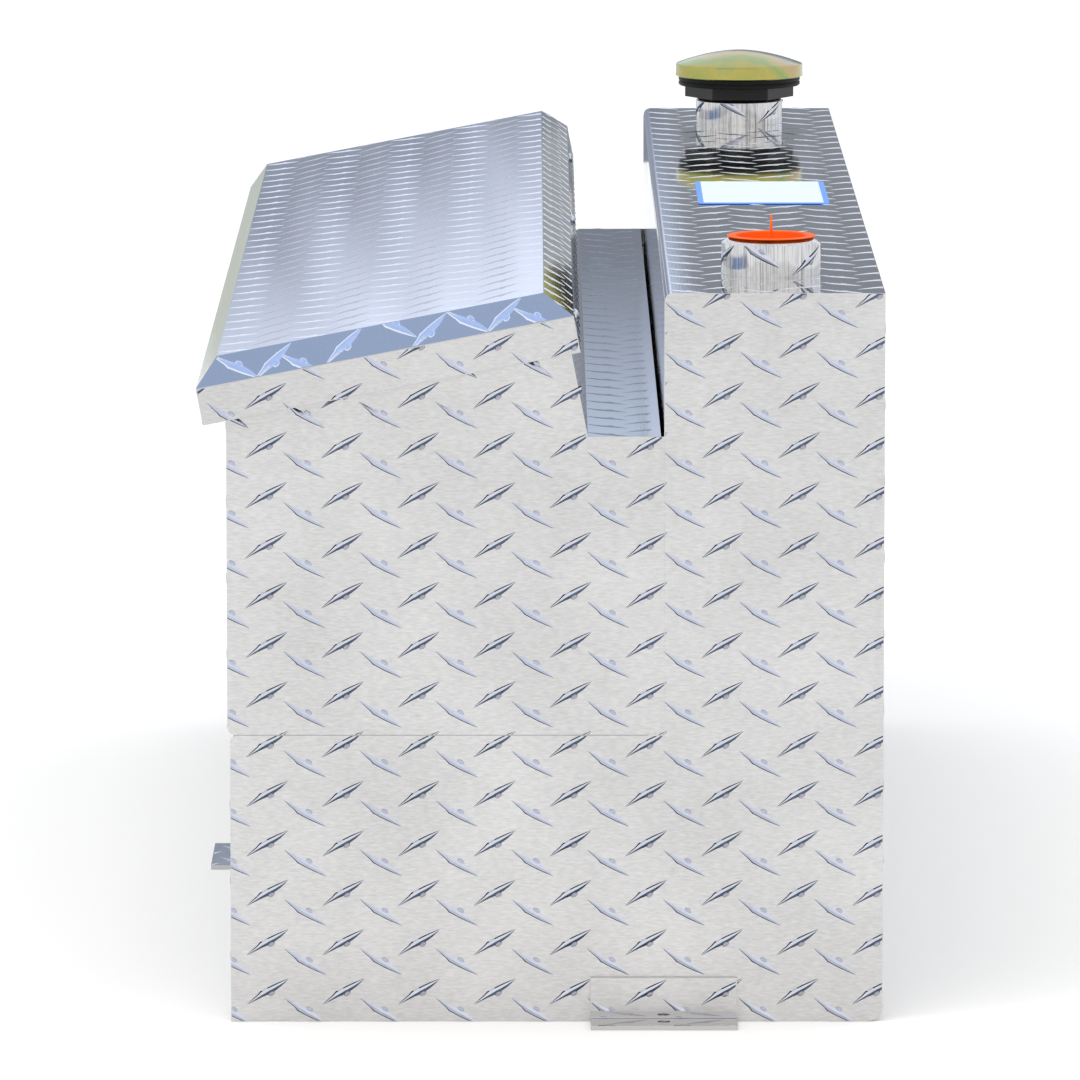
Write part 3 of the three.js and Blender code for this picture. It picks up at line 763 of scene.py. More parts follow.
@dataclass
class Lug:
    """One raised lug of the plate, pointed at both ends and stepped in the middle.

    Each station is (place along the lug, steep foot, steep crest, ridge, gentle foot, share of the
    rise), in millimetres. The steep side is at positive v. A small nub stands on the gentle side.
    """

    half_length: float = 21.0
    rise: float = 1.7
    sunk: float = 0.12
    crest_share: float = 0.72
    lean: float = math.radians(32.6)
    stations: tuple = (
        (-18.4, 0.65, 0.15, -0.1, -0.45, 0.27),
        (-13.6, 1.55, 0.75, 0.1, -1.00, 0.58),
        (-8.5, 2.35, 1.40, 0.2, -1.55, 0.82),
        (-4.6, 3.60, 2.35, 0.3, -2.00, 1.0),
        (-3.2, 3.30, 2.20, 0.2, -2.4, 1.0),
        (1.6, 3.00, 2.00, 0.1, -3.1, 1.0),
        (6.3, 2.55, 1.50, -0.3, -3.10, 0.96),
        (11.0, 1.90, 0.95, -0.5, -2.70, 0.84),
        (15.2, 1.15, 0.40, -0.5, -1.80, 0.60),
        (18.7, 0.50, 0.0, -0.3, -0.80, 0.28),
    )
    dip: int = 4
    nub: tuple = (2.0, -3.0, 3.3, 2.0, 1.15)

    def shell(self) -> tuple[np.ndarray, list, list]:
        """Returns the lug's points in millimetres, its faces, and each face's part by name."""
        points = [(-self.half_length, 0.0, -self.sunk)]
        for along, steep, crest, ridge, gentle, share in self.stations:
            top = self.rise * share
            points += [(along, steep, -self.sunk), (along, crest, self.crest_share * top)]
            points += [(along, ridge, top), (along, gentle, -self.sunk)]
        points.append((self.half_length, 0.0, -self.sunk))
        last = len(points) - 1
        parts = ("steep", "top", "gentle", "bottom")
        faces, names = [], []
        for j, part in enumerate(parts):
            k = (j + 1) % 4
            faces.append((0, 1 + k, 1 + j))
            names.append(part)
            for i in range(len(self.stations) - 1):
                here, following = 1 + 4 * i, 5 + 4 * i
                faces.append((here + j, here + k, following + k, following + j))
                names.append("dip" if part == "steep" and i == self.dip else part)
            faces.append((last, last - 4 + j, last - 4 + k))
            names.append(part)
        self._add_nub(points, faces, names)
        return np.array(points), faces, names

    def _add_nub(self, points: list, faces: list, names: list) -> None:
        """Adds the small rounded nub to a lug's lists."""
        u, v, long, wide, high = self.nub
        start, steps = len(points), 8
        for reach, lift in ((1.0, -self.sunk), (0.75, 0.62 * high)):
            for k in range(steps):
                turn = 2 * math.pi * k / steps
                points.append((u + long * reach * math.cos(turn), v + wide * reach * math.sin(turn), lift))
        points.append((u, v, high))
        peak = len(points) - 1
        for k in range(steps):
            n = (k + 1) % steps
            faces += [
                (start + k, start + n, start + steps + n, start + steps + k),
                (start + steps + k, start + steps + n, peak),
            ]
            names += ["nub", "nub"]
        faces.append(tuple(start + k for k in reversed(range(steps))))
        names.append("bottom")


Placing = Callable[[np.ndarray], np.ndarray]
Cut = tuple[float, float, float, float]


def flat(origin: Vector, across: Vector, up: Vector) -> Placing:
    """Returns the mapping of a flat panel from (s, t, rise) to the row frame."""
    outward = across.cross(up)
    basis = np.array([across, up, outward])
    start = np.array(origin)
    return lambda points: start + points @ basis


def wrapped(centre: Vector, radius: float) -> Placing:
    """Returns the mapping of a panel wrapped round an upright cylinder, s = 0 facing -Y."""

    def place(points: np.ndarray) -> np.ndarray:
        turn = points[:, 0] / radius - math.pi / 2
        reach = radius + points[:, 2]
        x, y = centre.x + reach * np.cos(turn), centre.y + reach * np.sin(turn)
        return np.stack([x, y, centre.z + points[:, 1]], axis=1)

    return place


@dataclass
class Panel:
    """A face of tread plate that carries lugs.

    The panel's own coordinates are s along the wide pitch, t along the other, and the rise.
    """

    name: str
    body: str
    place: Placing
    regions: list[list[Point]]
    phase: Point
    pitch: Point = (0.059, 0.03905)
    stretch: float = 1.0
    rise: float = 1.0
    lift: float = 0.0
    down: Point = (0.0, -1.0)
    tone: Tone = Tone.UPRIGHT
    spots: list[tuple[float, float, bool]] | None = None
    voids: list[tuple[float, float, float]] = field(default_factory=list)


@dataclass
class TreadPattern:
    """The lattice of lugs leaning one way and then the other, laid on panels."""

    lug: Lug = field(default_factory=Lug)

    def __post_init__(self) -> None:
        """Works the two lug solids out once."""
        points, self.faces, self.parts = self.lug.shell()
        cos, sin = math.cos(self.lug.lean), math.sin(self.lug.lean)
        s = points[:, 0] * cos - points[:, 1] * sin
        t = points[:, 0] * sin + points[:, 1] * cos
        self.rising = np.stack([s, t, points[:, 2]], axis=1) * MM
        self.falling = self.rising * np.array([1.0, -1.0, 1.0])
        self.falling_faces = [tuple(reversed(f)) for f in self.faces]

    def _slots(self, panel: Panel, rising: bool) -> list[int]:
        """Returns the material slot of each of a lug's faces.

        Args:
            panel: The panel; its down direction decides which flanks lie in shade.
            rising: True for a lug that leans like a slash.

        Returns:
            Slot numbers.
        """
        # painted light and shade: the panel's tone, or the way each facet faces against the panel's down
        # direction, picks a lit or a shaded copy of the plate colour
        if panel.tone is not Tone.UPRIGHT:
            mixed = Flank.FOOT if rising else Flank.CREST
            flank = {Tone.BRIGHT: Flank.CREST, Tone.DARK: Flank.SHADOW, Tone.MIXED: mixed}[panel.tone]
            return [flank.value] * len(self.parts)
        lean = self.lug.lean if rising else math.pi - self.lug.lean
        shaded = math.sin(lean) * panel.down[0] - math.cos(lean) * panel.down[1] > 0.1
        chosen = {
            "steep": Flank.DEEP,
            "dip": Flank.FACE if shaded else Flank.DEEP,
            "top": Flank.FACE if shaded else Flank.PALE,
            "gentle": Flank.SHADOW if shaded else Flank.FACE,
            "nub": Flank.FOOT if shaded else Flank.PALE,
            "bottom": Flank.FOOT,
        }
        return [chosen[p].value for p in self.parts]

    @staticmethod
    def _clip(points: np.ndarray, faces: list, slots: list, planes: list) -> tuple[np.ndarray, list, list]:
        """Cuts a lug's solid off at planes.

        Args:
            points: The lug's points, in panel coordinates.
            faces: Its faces.
            slots: The material slot of each face.
            planes: (s, t, outward s, outward t) of each cut.

        Returns:
            The points, faces and slots of what is left, closed at the cuts.
        """
        work = bmesh.new()
        corners = [work.verts.new(p) for p in points]
        for f, slot in zip(faces, slots, strict=True):
            work.faces.new([corners[i] for i in f]).material_index = slot
        for s, t, out_s, out_t in planes:
            geometry = work.verts[:] + work.edges[:] + work.faces[:]
            plane = {"plane_co": (s, t, 0.0), "plane_no": (out_s, out_t, 0.0)}
            cut = bmesh.ops.bisect_plane(work, geom=geometry, clear_outer=True, dist=1e-7, **plane)
            edges = [e for e in cut["geom_cut"] if isinstance(e, bmesh.types.BMEdge)]
            if edges:
                bmesh.ops.holes_fill(work, edges=edges, sides=0)
        work.verts.ensure_lookup_table()
        work.verts.index_update()
        left = np.array([v.co[:] for v in work.verts]).reshape(-1, 3)
        kept = [[v.index for v in f.verts] for f in work.faces]
        kept_slots = [f.material_index for f in work.faces]
        work.free()
        return left, kept, kept_slots

    @staticmethod
    def _edges(region: list[Point]) -> list[Cut]:
        """Returns (s, t, outward s, outward t) of each edge of an anticlockwise outline."""
        found = []
        for (s0, t0), (s1, t1) in zip(region, region[1:] + region[:1], strict=True):
            length = math.hypot(s1 - s0, t1 - t0)
            found.append((s0, t0, (t1 - t0) / length, -(s1 - s0) / length))
        return found

    def lay(self, panel: Panel) -> bpy.types.Object:
        """Lays the pattern on one panel.

        Args:
            panel: Where the lugs go.

        Returns:
            One mesh with all of the panel's lugs.
        """
        all_points, all_faces, all_slots, total = [], [], [], 0
        scale = np.array([1.0, panel.stretch, panel.rise])
        for region in panel.regions:
            edges = self._edges(region)
            for rising, centre in self._centres(panel, region):
                shell = (self.rising if rising else self.falling) * scale
                faces = self.faces if rising else self.falling_faces
                points = shell + np.array([*centre, 0.0])
                cuts = self._cuts(points, edges + self._rims(centre, panel.voids))
                if cuts is None:
                    continue
                part = (points, faces, self._slots(panel, rising))
                if cuts:
                    part = self._clip(*part, cuts)
                if len(part[1]) == 0:
                    continue
                all_points.append(part[0])
                all_faces += [tuple(total + v for v in f) for f in part[1]]
                all_slots += part[2]
                total += len(part[0])
        placed = panel.place(np.concatenate(all_points))
        finishes = (LUG_PAINTED_HIGHLIGHT, LUG_PAINTED_PALE_LIGHT, LUG_SHADOW, LUG_PAINTED_DEEP_SHADE, LUG_PAINTED_HALF_SHADE, LUG_PAINTED_MID_LIGHT)
        return make_piece(panel.name, placed, all_faces, finishes, panel.body, all_slots)

    @staticmethod
    def _centres(panel: Panel, region: list[Point]) -> list[tuple[bool, Point]]:
        """Returns each lug near a region: whether it rises, and its centre."""
        if panel.spots is not None:
            return [(rising, (s, t)) for s, t, rising in panel.spots]
        found = []
        low = [min(p[i] for p in region) - 0.03 for i in (0, 1)]
        high = [max(p[i] for p in region) + 0.03 for i in (0, 1)]
        for rising in (True, False):
            start = list(panel.phase)
            if not rising:
                start = [start[0] + panel.pitch[0] / 2, start[1] + panel.pitch[1] / 2 + panel.lift]
            counts = []
            for i in (0, 1):
                first, last = (low[i] - start[i]) / panel.pitch[i], (high[i] - start[i]) / panel.pitch[i]
                counts.append(range(math.ceil(first), math.floor(last) + 1))
            found += [
                (rising, (start[0] + i * panel.pitch[0], start[1] + j * panel.pitch[1]))
                for i in counts[0]
                for j in counts[1]
            ]
        return found

    @staticmethod
    def _rims(centre: Point, voids: list[tuple[float, float, float]]) -> list[Cut]:
        """Returns the cut that keeps a lug out of each round hole near it."""
        found = []
        for s, t, radius in voids:
            gap = math.hypot(centre[0] - s, centre[1] - t)
            if gap < radius + 0.03:
                out = ((s - centre[0]) / max(gap, 1e-6), (t - centre[1]) / max(gap, 1e-6))
                found.append((s - out[0] * radius, t - out[1] * radius, *out))
        return found

    @staticmethod
    def _cuts(points: np.ndarray, edges: list) -> list | None:
        """Returns the edges that cross a lug, or None if it lies outside of one."""
        crossing = []
        for s, t, out_s, out_t in edges:
            reach = (points[:, 0] - s) * out_s + (points[:, 1] - t) * out_t
            if reach.min() > -0.0005:
                return None
            if reach.max() > 0:
                crossing.append((s, t, out_s, out_t))
        return crossing


def rectangle(s0: float, t0: float, s1: float, t1: float) -> list[Point]:
    """Returns an anticlockwise rectangle."""
    return [(s0, t0), (s1, t0), (s1, t1), (s0, t1)]


X, Y, Z = Vector((1, 0, 0)), Vector((0, 1, 0)), Vector((0, 0, 1))
LONG_PITCH = (0.0595, 0.0504)
LONG_STRETCH = 1.29
FACE_GAP = 0.00001
FACE_THICK = 0.0002
END_PHASE = (0.0284, 0.0234)
FAR_PHASE = (-END_PHASE[0], END_PHASE[1])
END_LIFT = 0.0042
TOP_PITCH = (0.0603, 0.0504)


@dataclass
class TankTread:
    """The tread faces of the liquid tank."""

    step: float = STEP
    tall_front: float = TALL_FRONT
    sheet: float = 0.0035
    edge: float = 0.0004
    bend: float = 0.0105
    shelf: float = SHELF
    bare_radius: float = 0.0392
    # along the top: one bare round is at the bung, the other 54 mm nearer than the filler neck
    bare_places: tuple[float, float] = (0.142, 1.334)

    def __post_init__(self) -> None:
        """Reads the tank's box from the frame."""
        low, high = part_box("tank_front_top_sheet")
        self.front, self.back = low.x, high.x
        self.near, self.far = low.y, high.y
        self.top = high.z
        self.depth = self.back - self.front
        self.length = self.far - self.near

    def panels(self) -> list[Panel]:
        """Returns the tank's panels, near end first."""
        edge = self.edge
        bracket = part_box("mount_bracket_near")
        foot = (bracket[0].x - self.front - edge, bracket[1].x - self.front + edge, bracket[1].z + edge)
        ends = [
            rectangle(edge, edge, foot[0], foot[2]),
            rectangle(foot[1], edge, self.depth - edge, foot[2]),
            rectangle(edge, foot[2], self.depth - edge, self.step - edge),
            rectangle(self.tall_front + edge, self.step - edge, self.depth - edge, self.top - edge),
        ]
        far_ends = [[(self.depth - s, t) for s, t in reversed(r)] for r in ends]
        port = (self.tall_front + self.depth) / 2
        voids = [(port, place, self.bare_radius) for place in self.bare_places]
        run = self.length
        long = {"pitch": LONG_PITCH, "stretch": LONG_STRETCH, "rise": 0.3}
        wall = {**long, "down": (-1.0, 0.0)}
        corner = Vector((self.front, self.near, 0.0))
        return [
            Panel("tread_tank_end_near", "tank", flat(corner, X, Z), ends, END_PHASE, lift=END_LIFT),
            Panel(
                "tread_tank_end_far", "tank", flat(Vector((self.back, self.far, 0.0)), -X, Z), far_ends,
                END_PHASE, lift=END_LIFT,
            ),
            # the top's lugs are all painted highlight
            Panel(
                "tread_tank_top", "tank", flat(Vector((self.front, self.near, self.top)), X, Y),
                [rectangle(self.tall_front + 0.0045, 0.0, self.depth - 0.0005, run)], (0.3835, 0.0395),
                pitch=TOP_PITCH, stretch=LONG_STRETCH, rise=0.24, tone=Tone.BRIGHT, voids=voids,
            ),
            Panel(
                "tread_tank_front", "tank", flat(corner, Z, Y),
                [rectangle(self.sheet + 0.001, 0.0, self.step - 0.006, run)], (0.03, 0.02), **wall,
            ),
            # the riser's lugs are all painted highlight
            Panel(
                "tread_tank_riser", "tank", flat(corner + X * self.tall_front, Z, Y),
                [rectangle(self.shelf + 0.001, 0.0, self.top - 0.007, run)], (0.493, 0.02),
                **{**wall, "tone": Tone.BRIGHT, "rise": 0.05},
            ),
            Panel(
                "tread_tank_back", "tank", flat(Vector((self.back, self.near, 0.0)), -Z, Y),
                [rectangle(-self.top + self.sheet + 0.001, 0.0, -self.bend, run)], (-0.03, 0.02),
                **{**long, "down": (1.0, 0.0)},
            ),
            Panel(
                "tread_tank_floor", "tank", flat(Vector((self.back, self.near, 0.0)), -X, Y),
                [rectangle(self.bend, 0.0, self.depth, run)], (0.03, 0.02), **long,
            ),
        ]


@dataclass
class ToolboxTread:
    """The tread faces of the toolbox."""

    tall_front: float = TALL_FRONT
    edge: float = 0.0004
    shelf: float = SHELF
    corner_bend: float = 0.006
    latch_half: float = 0.067
    latch_low: float = 0.377
    latch_high: float = 0.461
    shelf_start: float = 0.2765
    slope_lean: float = SLANT

    def __post_init__(self) -> None:
        """Reads the toolbox's box from the frame."""
        low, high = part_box("toolbox_body_sheet")
        self.front, self.back = low.x, high.x
        self.near, self.far = low.y, high.y
        self.bottom = low.z
        self.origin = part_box("tank_front_top_sheet")[0].x
        self.skirt_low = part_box("lid_skin")[0].z

    def panels(self) -> list[Panel]:
        """Returns the toolbox's panels."""
        left = self.front - self.origin + self.edge
        right = self.tall_front
        low = self.bottom + self.edge
        high = self.shelf - self.edge
        slope = math.tan(self.slope_lean)
        upper = [
            (left, high), (self.shelf_start, high), (self.shelf_start - 0.006, self.skirt_low + 0.29 * slope),
            (left, self.skirt_low + 0.012),
        ]
        ends = [rectangle(left, low, right, high), upper]
        corner = Vector((self.origin, self.near, 0.0))
        far_corner = Vector((self.origin, self.far, 0.0))
        far_ends = [[(-s, t) for s, t in reversed(r)] for r in ends]
        run = self.far - self.near
        middle = run / 2
        wall = {"pitch": LONG_PITCH, "stretch": LONG_STRETCH, "rise": 0.3, "down": (-1.0, 0.0)}
        front_regions = [
            rectangle(self.bottom + self.corner_bend, 0.0, self.latch_low, run),
            rectangle(self.latch_low, 0.0, self.latch_high, middle - self.latch_half),
            rectangle(self.latch_low, middle + self.latch_half, self.latch_high, run),
            rectangle(self.latch_high, 0.0, self.skirt_low + 0.012, run),
        ]
        return [
            Panel("tread_box_end_near", "tank", flat(corner, X, Z), ends, END_PHASE, lift=END_LIFT),
            Panel("tread_box_end_far", "tank", flat(far_corner, -X, Z), far_ends, FAR_PHASE, lift=END_LIFT),
            Panel(
                "tread_box_front", "tank", flat(Vector((self.front, self.near, 0.0)), Z, Y), front_regions,
                (0.03, 0.02), **wall,
            ),
            # the shelf's lugs are all painted shade, for the shade in the trough
            Panel(
                "tread_box_shelf", "tank", flat(Vector((self.origin, self.near, self.shelf)), X, Y),
                [rectangle(self.shelf_start + 0.002, 0.0, self.back - self.origin - 0.005, run)],
                (0.3232, 0.0395), pitch=TOP_PITCH, stretch=LONG_STRETCH, rise=0.2, tone=Tone.DARK,
            ),
        ]


@dataclass
class LidTread:
    """The tread faces of the slanted lid. Its own axes are a, up the slope, y, and b, square to the lid."""

    tilt: float = SLANT
    width: float = 0.2977
    skirt: float = 0.029
    bevel: float = 0.020
    margin: float = 0.0008
    bevel_spots: tuple = (
        (0.0329, 0.0143, False),
        (0.0616, 0.0116, True),
        (0.0829, 0.0050, False),
        (0.1185, 0.0141, True),
        (0.1584, 0.0244, False),
        (0.1840, 0.0113, True),
        (0.2158, 0.0146, False),
        (0.2433, 0.0127, True),
        (0.2673, 0.0054, False),
    )

    def __post_init__(self) -> None:
        """Reads the lid's box from the frame and works its axes out."""
        low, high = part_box("lid_skin")
        self.near, self.far = low.y, high.y
        self.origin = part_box("tank_front_top_sheet")[0].x
        self.corner = Vector((low.x + self.skirt * math.sin(self.tilt), 0.0, low.z))
        self.a = Vector((math.cos(self.tilt), 0.0, math.sin(self.tilt)))
        self.b = Vector((-math.sin(self.tilt), 0.0, math.cos(self.tilt)))

    def at(self, a: float, y: float, b: float) -> Vector:
        """Returns a point of the lid's own axes in the row frame."""
        return self.corner + self.a * a + self.b * b + Y * y

    def faces(self) -> list[bpy.types.Object]:
        """Builds the thin satin faces of the two end skirts."""
        found = []
        for side, y, out in (("near", self.near, -1), ("far", self.far, 1)):
            name, outline, place = f"lid_face_{side}", self._upright(X), on_end(self.origin, y)
            found.append(plate_face(name, outline, place, out * FACE_GAP, out * FACE_THICK, END_PLATE, "lid"))
        return found

    def _upright(self, across: Vector) -> list[Point]:
        """Returns an end skirt's outline, anticlockwise, along a level axis and upwards."""
        m = self.margin
        corners = [(m, m), (self.width - m, m), (self.width - m, self.skirt - m), (m, self.skirt - m)]
        places = [self.at(a, 0.0, b) - Vector((self.origin, 0.0, 0.0)) for a, b in corners]
        if across.x < 0:
            places.reverse()
        return [(place.dot(across), place.z) for place in places]

    def panels(self) -> list[Panel]:
        """Returns the top, the four bevels and the four skirts."""
        w, k, c, m = self.width, self.skirt, self.bevel, self.margin
        run = self.far - self.near
        slant = c * math.sqrt(2)
        rise = math.sqrt(0.5)
        long = {"pitch": (0.0593, 0.0504), "stretch": LONG_STRETCH, "rise": 0.22}
        ends = {"lift": END_LIFT}
        sides = {**long, "down": (-1.0, 0.0)}
        a, b = self.a, self.b
        # the lid top's rising lugs are painted half shade and its falling lugs painted highlight
        top = Panel(
            "tread_lid_top", "lid", flat(self.at(0, self.near, k + c), a, Y),
            [rectangle(c + m, c + m, w - c - m, run - c - m)], (0.0635, 0.0570), tone=Tone.MIXED, **long,
        )
        # the lugs on all four bevels are painted highlight
        bevel = {**ends, "stretch": 1.45, "spots": list(self.bevel_spots)}
        bevels = [
            ("near", self.at(0, self.near, k), a, (Y + b) * rise, w, bevel),
            ("far", self.at(w, self.far, k), -a, (b - Y) * rise, w, bevel),
        ]
        panels = [top]
        for name, origin, across, up, reach, extra in bevels:
            region = [(m, m), (reach - m, m), (reach - c - m, slant - m), (c + m, slant - m)]
            panels.append(
                Panel(
                    f"tread_lid_bevel_{name}", "lid", flat(origin, across, up), [region], (0.0316, 0.012),
                    rise=0.35, tone=Tone.BRIGHT, **extra,
                )
            )
        long_bevels = [
            ("front", self.at(0, self.near, k), (a + b) * rise),
            ("back", self.at(w - c, self.near, k + c), (a - b) * rise),
        ]
        for name, origin, across in long_bevels:
            tapered = [(m, m), (slant - m, c + m), (slant - m, run - c - m), (m, run - m)]
            if name == "back":
                tapered = [(m, c + m), (slant - m, m), (slant - m, run - m), (m, run - c - m)]
            extra = {**long, "tone": Tone.BRIGHT, "rise": 0.08 if name == "front" else 0.35}
            place = flat(origin, across, Y)
            panels.append(Panel(f"tread_lid_bevel_{name}", "lid", place, [tapered], (0.004, 0.0570), **extra))
        side = rectangle(m, m, k - m, run - m)
        skirts = [
            ("near", Vector((self.origin, self.near, 0.0)), X, Z, self._upright(X), END_PHASE, ends),
            ("far", Vector((self.origin, self.far, 0.0)), -X, Z, self._upright(-X), FAR_PHASE, ends),
            ("front", self.at(0, self.near, 0), b, Y, side, (0.010, 0.0570), sides),
            ("back", self.at(w, self.near, k), -b, Y, side, (0.018, 0.0570), {**long, "down": (1.0, 0.0)}),
        ]
        for name, origin, across, up, region, phase, extra in skirts:
            place = flat(origin, across, up)
            panels.append(Panel(f"tread_lid_skirt_{name}", "lid", place, [region], phase, **extra))
        return panels


@dataclass
class BracketTread:
    """The tread faces of the hold-down angles."""

    sheet: float = 0.0032
    rise: float = 0.035
    hole: float = 0.0065
    places: tuple = (("near", X, -Y), ("far", -X, Y), ("front", -Y, -X))

    @staticmethod
    def _on_leg(wall: Vector, across: Vector, out: Vector) -> Spot:
        """Returns the mapping of a bracket leg's face."""
        return lambda s, t, r: tuple(wall + across * s + Z * t + out * r)

    def _legs(self) -> Iterator[tuple[str, Vector, Vector, float, float, Vector]]:
        """Yields each bracket's name, directions along and off the wall, half width, reach and foot."""
        for name, across, out in self.places:
            low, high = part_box(f"mount_bracket_{name}")
            reach = abs((high - low).dot(out))
            wall = (low + high) / 2 + out * (self.sheet - reach / 2)
            wall.z = 0.0
            yield name, across, out, abs((high - low).dot(across)) / 2, reach, wall

    def faces(self) -> list[bpy.types.Object]:
        """Builds the thin satin face of each bracket's leg."""
        found = []
        for name, across, out, half, _, wall in self._legs():
            outline = rectangle(-half + 0.0004, 0.0085, half - 0.0004, self.rise - 0.0004)
            place = self._on_leg(wall, across, out)
            found.append(plate_face(f"bracket_face_{name}", outline, place, FACE_GAP, FACE_THICK, END_PLATE))
        return found

    def panels(self) -> list[Panel]:
        """Returns a leg and a foot panel for each bracket."""
        found = []
        tank_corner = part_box("tank_front_top_sheet")[0]
        for name, across, out, half, reach, wall in self._legs():
            leg_origin = wall - across * half
            foot_origin = leg_origin + Z * self.sheet
            leg = rectangle(0.001, 0.009, 2 * half - 0.001, self.rise - 0.001)
            # the foot panel's t axis runs back towards the wall
            foot = rectangle(0.001, -reach + self.sheet + 0.001, 2 * half - 0.001, -0.006)
            hole = (half, -0.019 + self.sheet, self.hole)
            found += [
                Panel(
                    f"tread_bracket_leg_{name}", "tank", flat(leg_origin, across, Z), [leg],
                    (END_PHASE[0] - (leg_origin - tank_corner).dot(across), END_PHASE[1]), lift=END_LIFT,
                ),
                # the foot's rising lugs are painted half shade and its falling lugs painted highlight
                Panel(
                    f"tread_bracket_foot_{name}", "tank", flat(foot_origin, across, -out), [foot],
                    (0.028, -0.018), rise=0.2, tone=Tone.MIXED, voids=[hole],
                ),
            ]
        return found


@dataclass
class EndFaces:
    """Thin dressed faces over the ends, where the end plates are welded and ground flush."""

    joint: float = 0.0003
    step: float = STEP
    seam: float = 0.2260
    tall_front: float = TALL_FRONT
    shelf: float = SHELF
    slope_lean: float = SLANT

    def build(self) -> list[bpy.types.Object]:
        """Builds the near and far faces of the tank and of the toolbox."""
        low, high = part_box("tank_front_top_sheet")
        box_low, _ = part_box("toolbox_body_sheet")
        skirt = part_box("lid_skin")[0].z + 0.004
        slope_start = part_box("toolbox_slope_sheet")[1].x - low.x - 0.0003
        deep = high.x - low.x
        tank = [
            (0.0, 0.0, 0.0015), (deep, 0.0, 0.0105), (deep, high.z, 0.003), (self.tall_front, high.z, 0.006),
            (self.tall_front, self.step - self.joint, 0.013), (0.0, self.step - self.joint, 0.005),
        ]
        left = box_low.x - low.x
        right = self.tall_front - 0.00003
        top_right = skirt + 0.28 * math.tan(self.slope_lean)
        lean = math.tan(self.slope_lean)
        toolbox = [
            (left, self.seam, 0.006), (right, self.seam, 0.0128), (right, self.shelf, 0.0008),
            (slope_start, self.shelf, 0.0), (slope_start - (top_right - self.shelf) * lean, top_right, 0.0),
            (left, skirt, 0.0),
        ]
        found = []
        for owner, corners in (("tank", tank), ("box", toolbox)):
            outline = rounded(corners, 8)
            for side, y, out in (("near", low.y, -1), ("far", high.y, 1)):
                name, place = f"{owner}_face_{side}", on_end(low.x, y)
                found.append(plate_face(name, outline, place, out * FACE_GAP, out * FACE_THICK, END_PLATE))
        found += [self._riser(low, high), self._lip(low, high)]
        return found

    def _lip(self, low: Vector, high: Vector) -> bpy.types.Object:
        """Builds the thin lip along the shelf's rear edge, over its bend."""
        outline = rectangle(low.x + 0.3262, low.y + 0.0005, low.x + 0.3347, high.y - 0.0005)
        name, place = "toolbox_shelf_lip", lambda x, y, r: (x, y, self.shelf + r)
        return plate_face(name, outline, place, FACE_GAP, FACE_THICK, WRAP_PLATE)

    def _riser(self, low: Vector, high: Vector) -> bpy.types.Object:
        """Builds the face of the tall front wall, above the trough, in a brighter and bluer copy of the plate
        colour: painted light and painted sky reflection.
        """
        x = low.x + self.tall_front - 0.00001
        outline = rectangle(low.y + 0.001, self.shelf - 0.004, high.y - 0.001, high.z - 0.0065)
        name, place = "tank_face_riser", lambda y, z, r: (x - r, y, z)
        return plate_face(name, outline, place, 0.0, FACE_THICK, WALL_PLATE_PAINTED_LIGHT)


# ---- turned and moulded pieces -----------------------------------------------------------------
@dataclass
class Port:
    """A round pipe port: a bored and threaded ring with a tread relief outside."""

    node: str
    chamfer: Point
    bore: float = 0.030
    thread_rows_per_turn: int = 6
    plate_top: float = 0.5715
    spots: tuple = (
        (-0.0116, 0.019, False),
        (0.0330, 0.0125, True),
        (-0.0500, 0.0140, True),
        (0.0680, 0.0190, False),
        (-0.0950, 0.0190, False),
        (0.1040, 0.0125, True),
    )

    def build(self, tread: TreadPattern) -> list[bpy.types.Object]:
        """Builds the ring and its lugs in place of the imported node.

        Args:
            tread: The lug pattern.

        Returns:
            The pieces.
        """
        centre, low, high = foot_and_box(self.node)
        radius = (high.x - low.x) / 2
        wide, tall = self.chamfer
        steps = 96
        rows = int((high.z - low.z) / THREAD_PITCH * self.thread_rows_per_turn)
        outer = [
            (radius, low.z),
            (radius, high.z - tall - 0.0004),
            (radius - 0.0002, high.z - tall),
            (radius - wide + 0.0002, high.z - 0.0003),
            (radius - wide - 0.0005, high.z),
            (self.bore + 0.0012, high.z),
        ]
        points, faces = turned([*outer, (self.bore + 0.0006, high.z - 0.0004)], centre, steps)
        rim = len(points) - steps
        first = len(points)
        rises = [high.z - 0.0006 - (high.z - 0.0008 - low.z) * row / rows for row in range(rows + 1)]
        points += thread(
            centre, rises, steps, lambda row, away: self.bore + THREAD_DEPTH * (1 - away) * min(1.0, row / 5)
        )
        rings = [list(range(rim, rim + steps)), *rings_of(first, rows + 1, steps), list(range(steps))]
        faces += strips(rings)
        ring = make_piece(f"{self.node}_ring", points, faces, [POLISHED], "tank")
        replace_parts(fix_normals(smooth(ring, 24)), self.node)
        around = 2 * math.pi * radius
        panel = Panel(
            f"tread_{self.node}", "tank", wrapped(Vector((centre.x, centre.y, self.plate_top)), radius),
            [rectangle(-around / 2, 0.0005, around / 2, high.z - self.plate_top - tall - 0.0006)],
            (0.0, 0.0), rise=0.6, spots=list(self.spots),
        )
        return [ring, tread.lay(panel)]


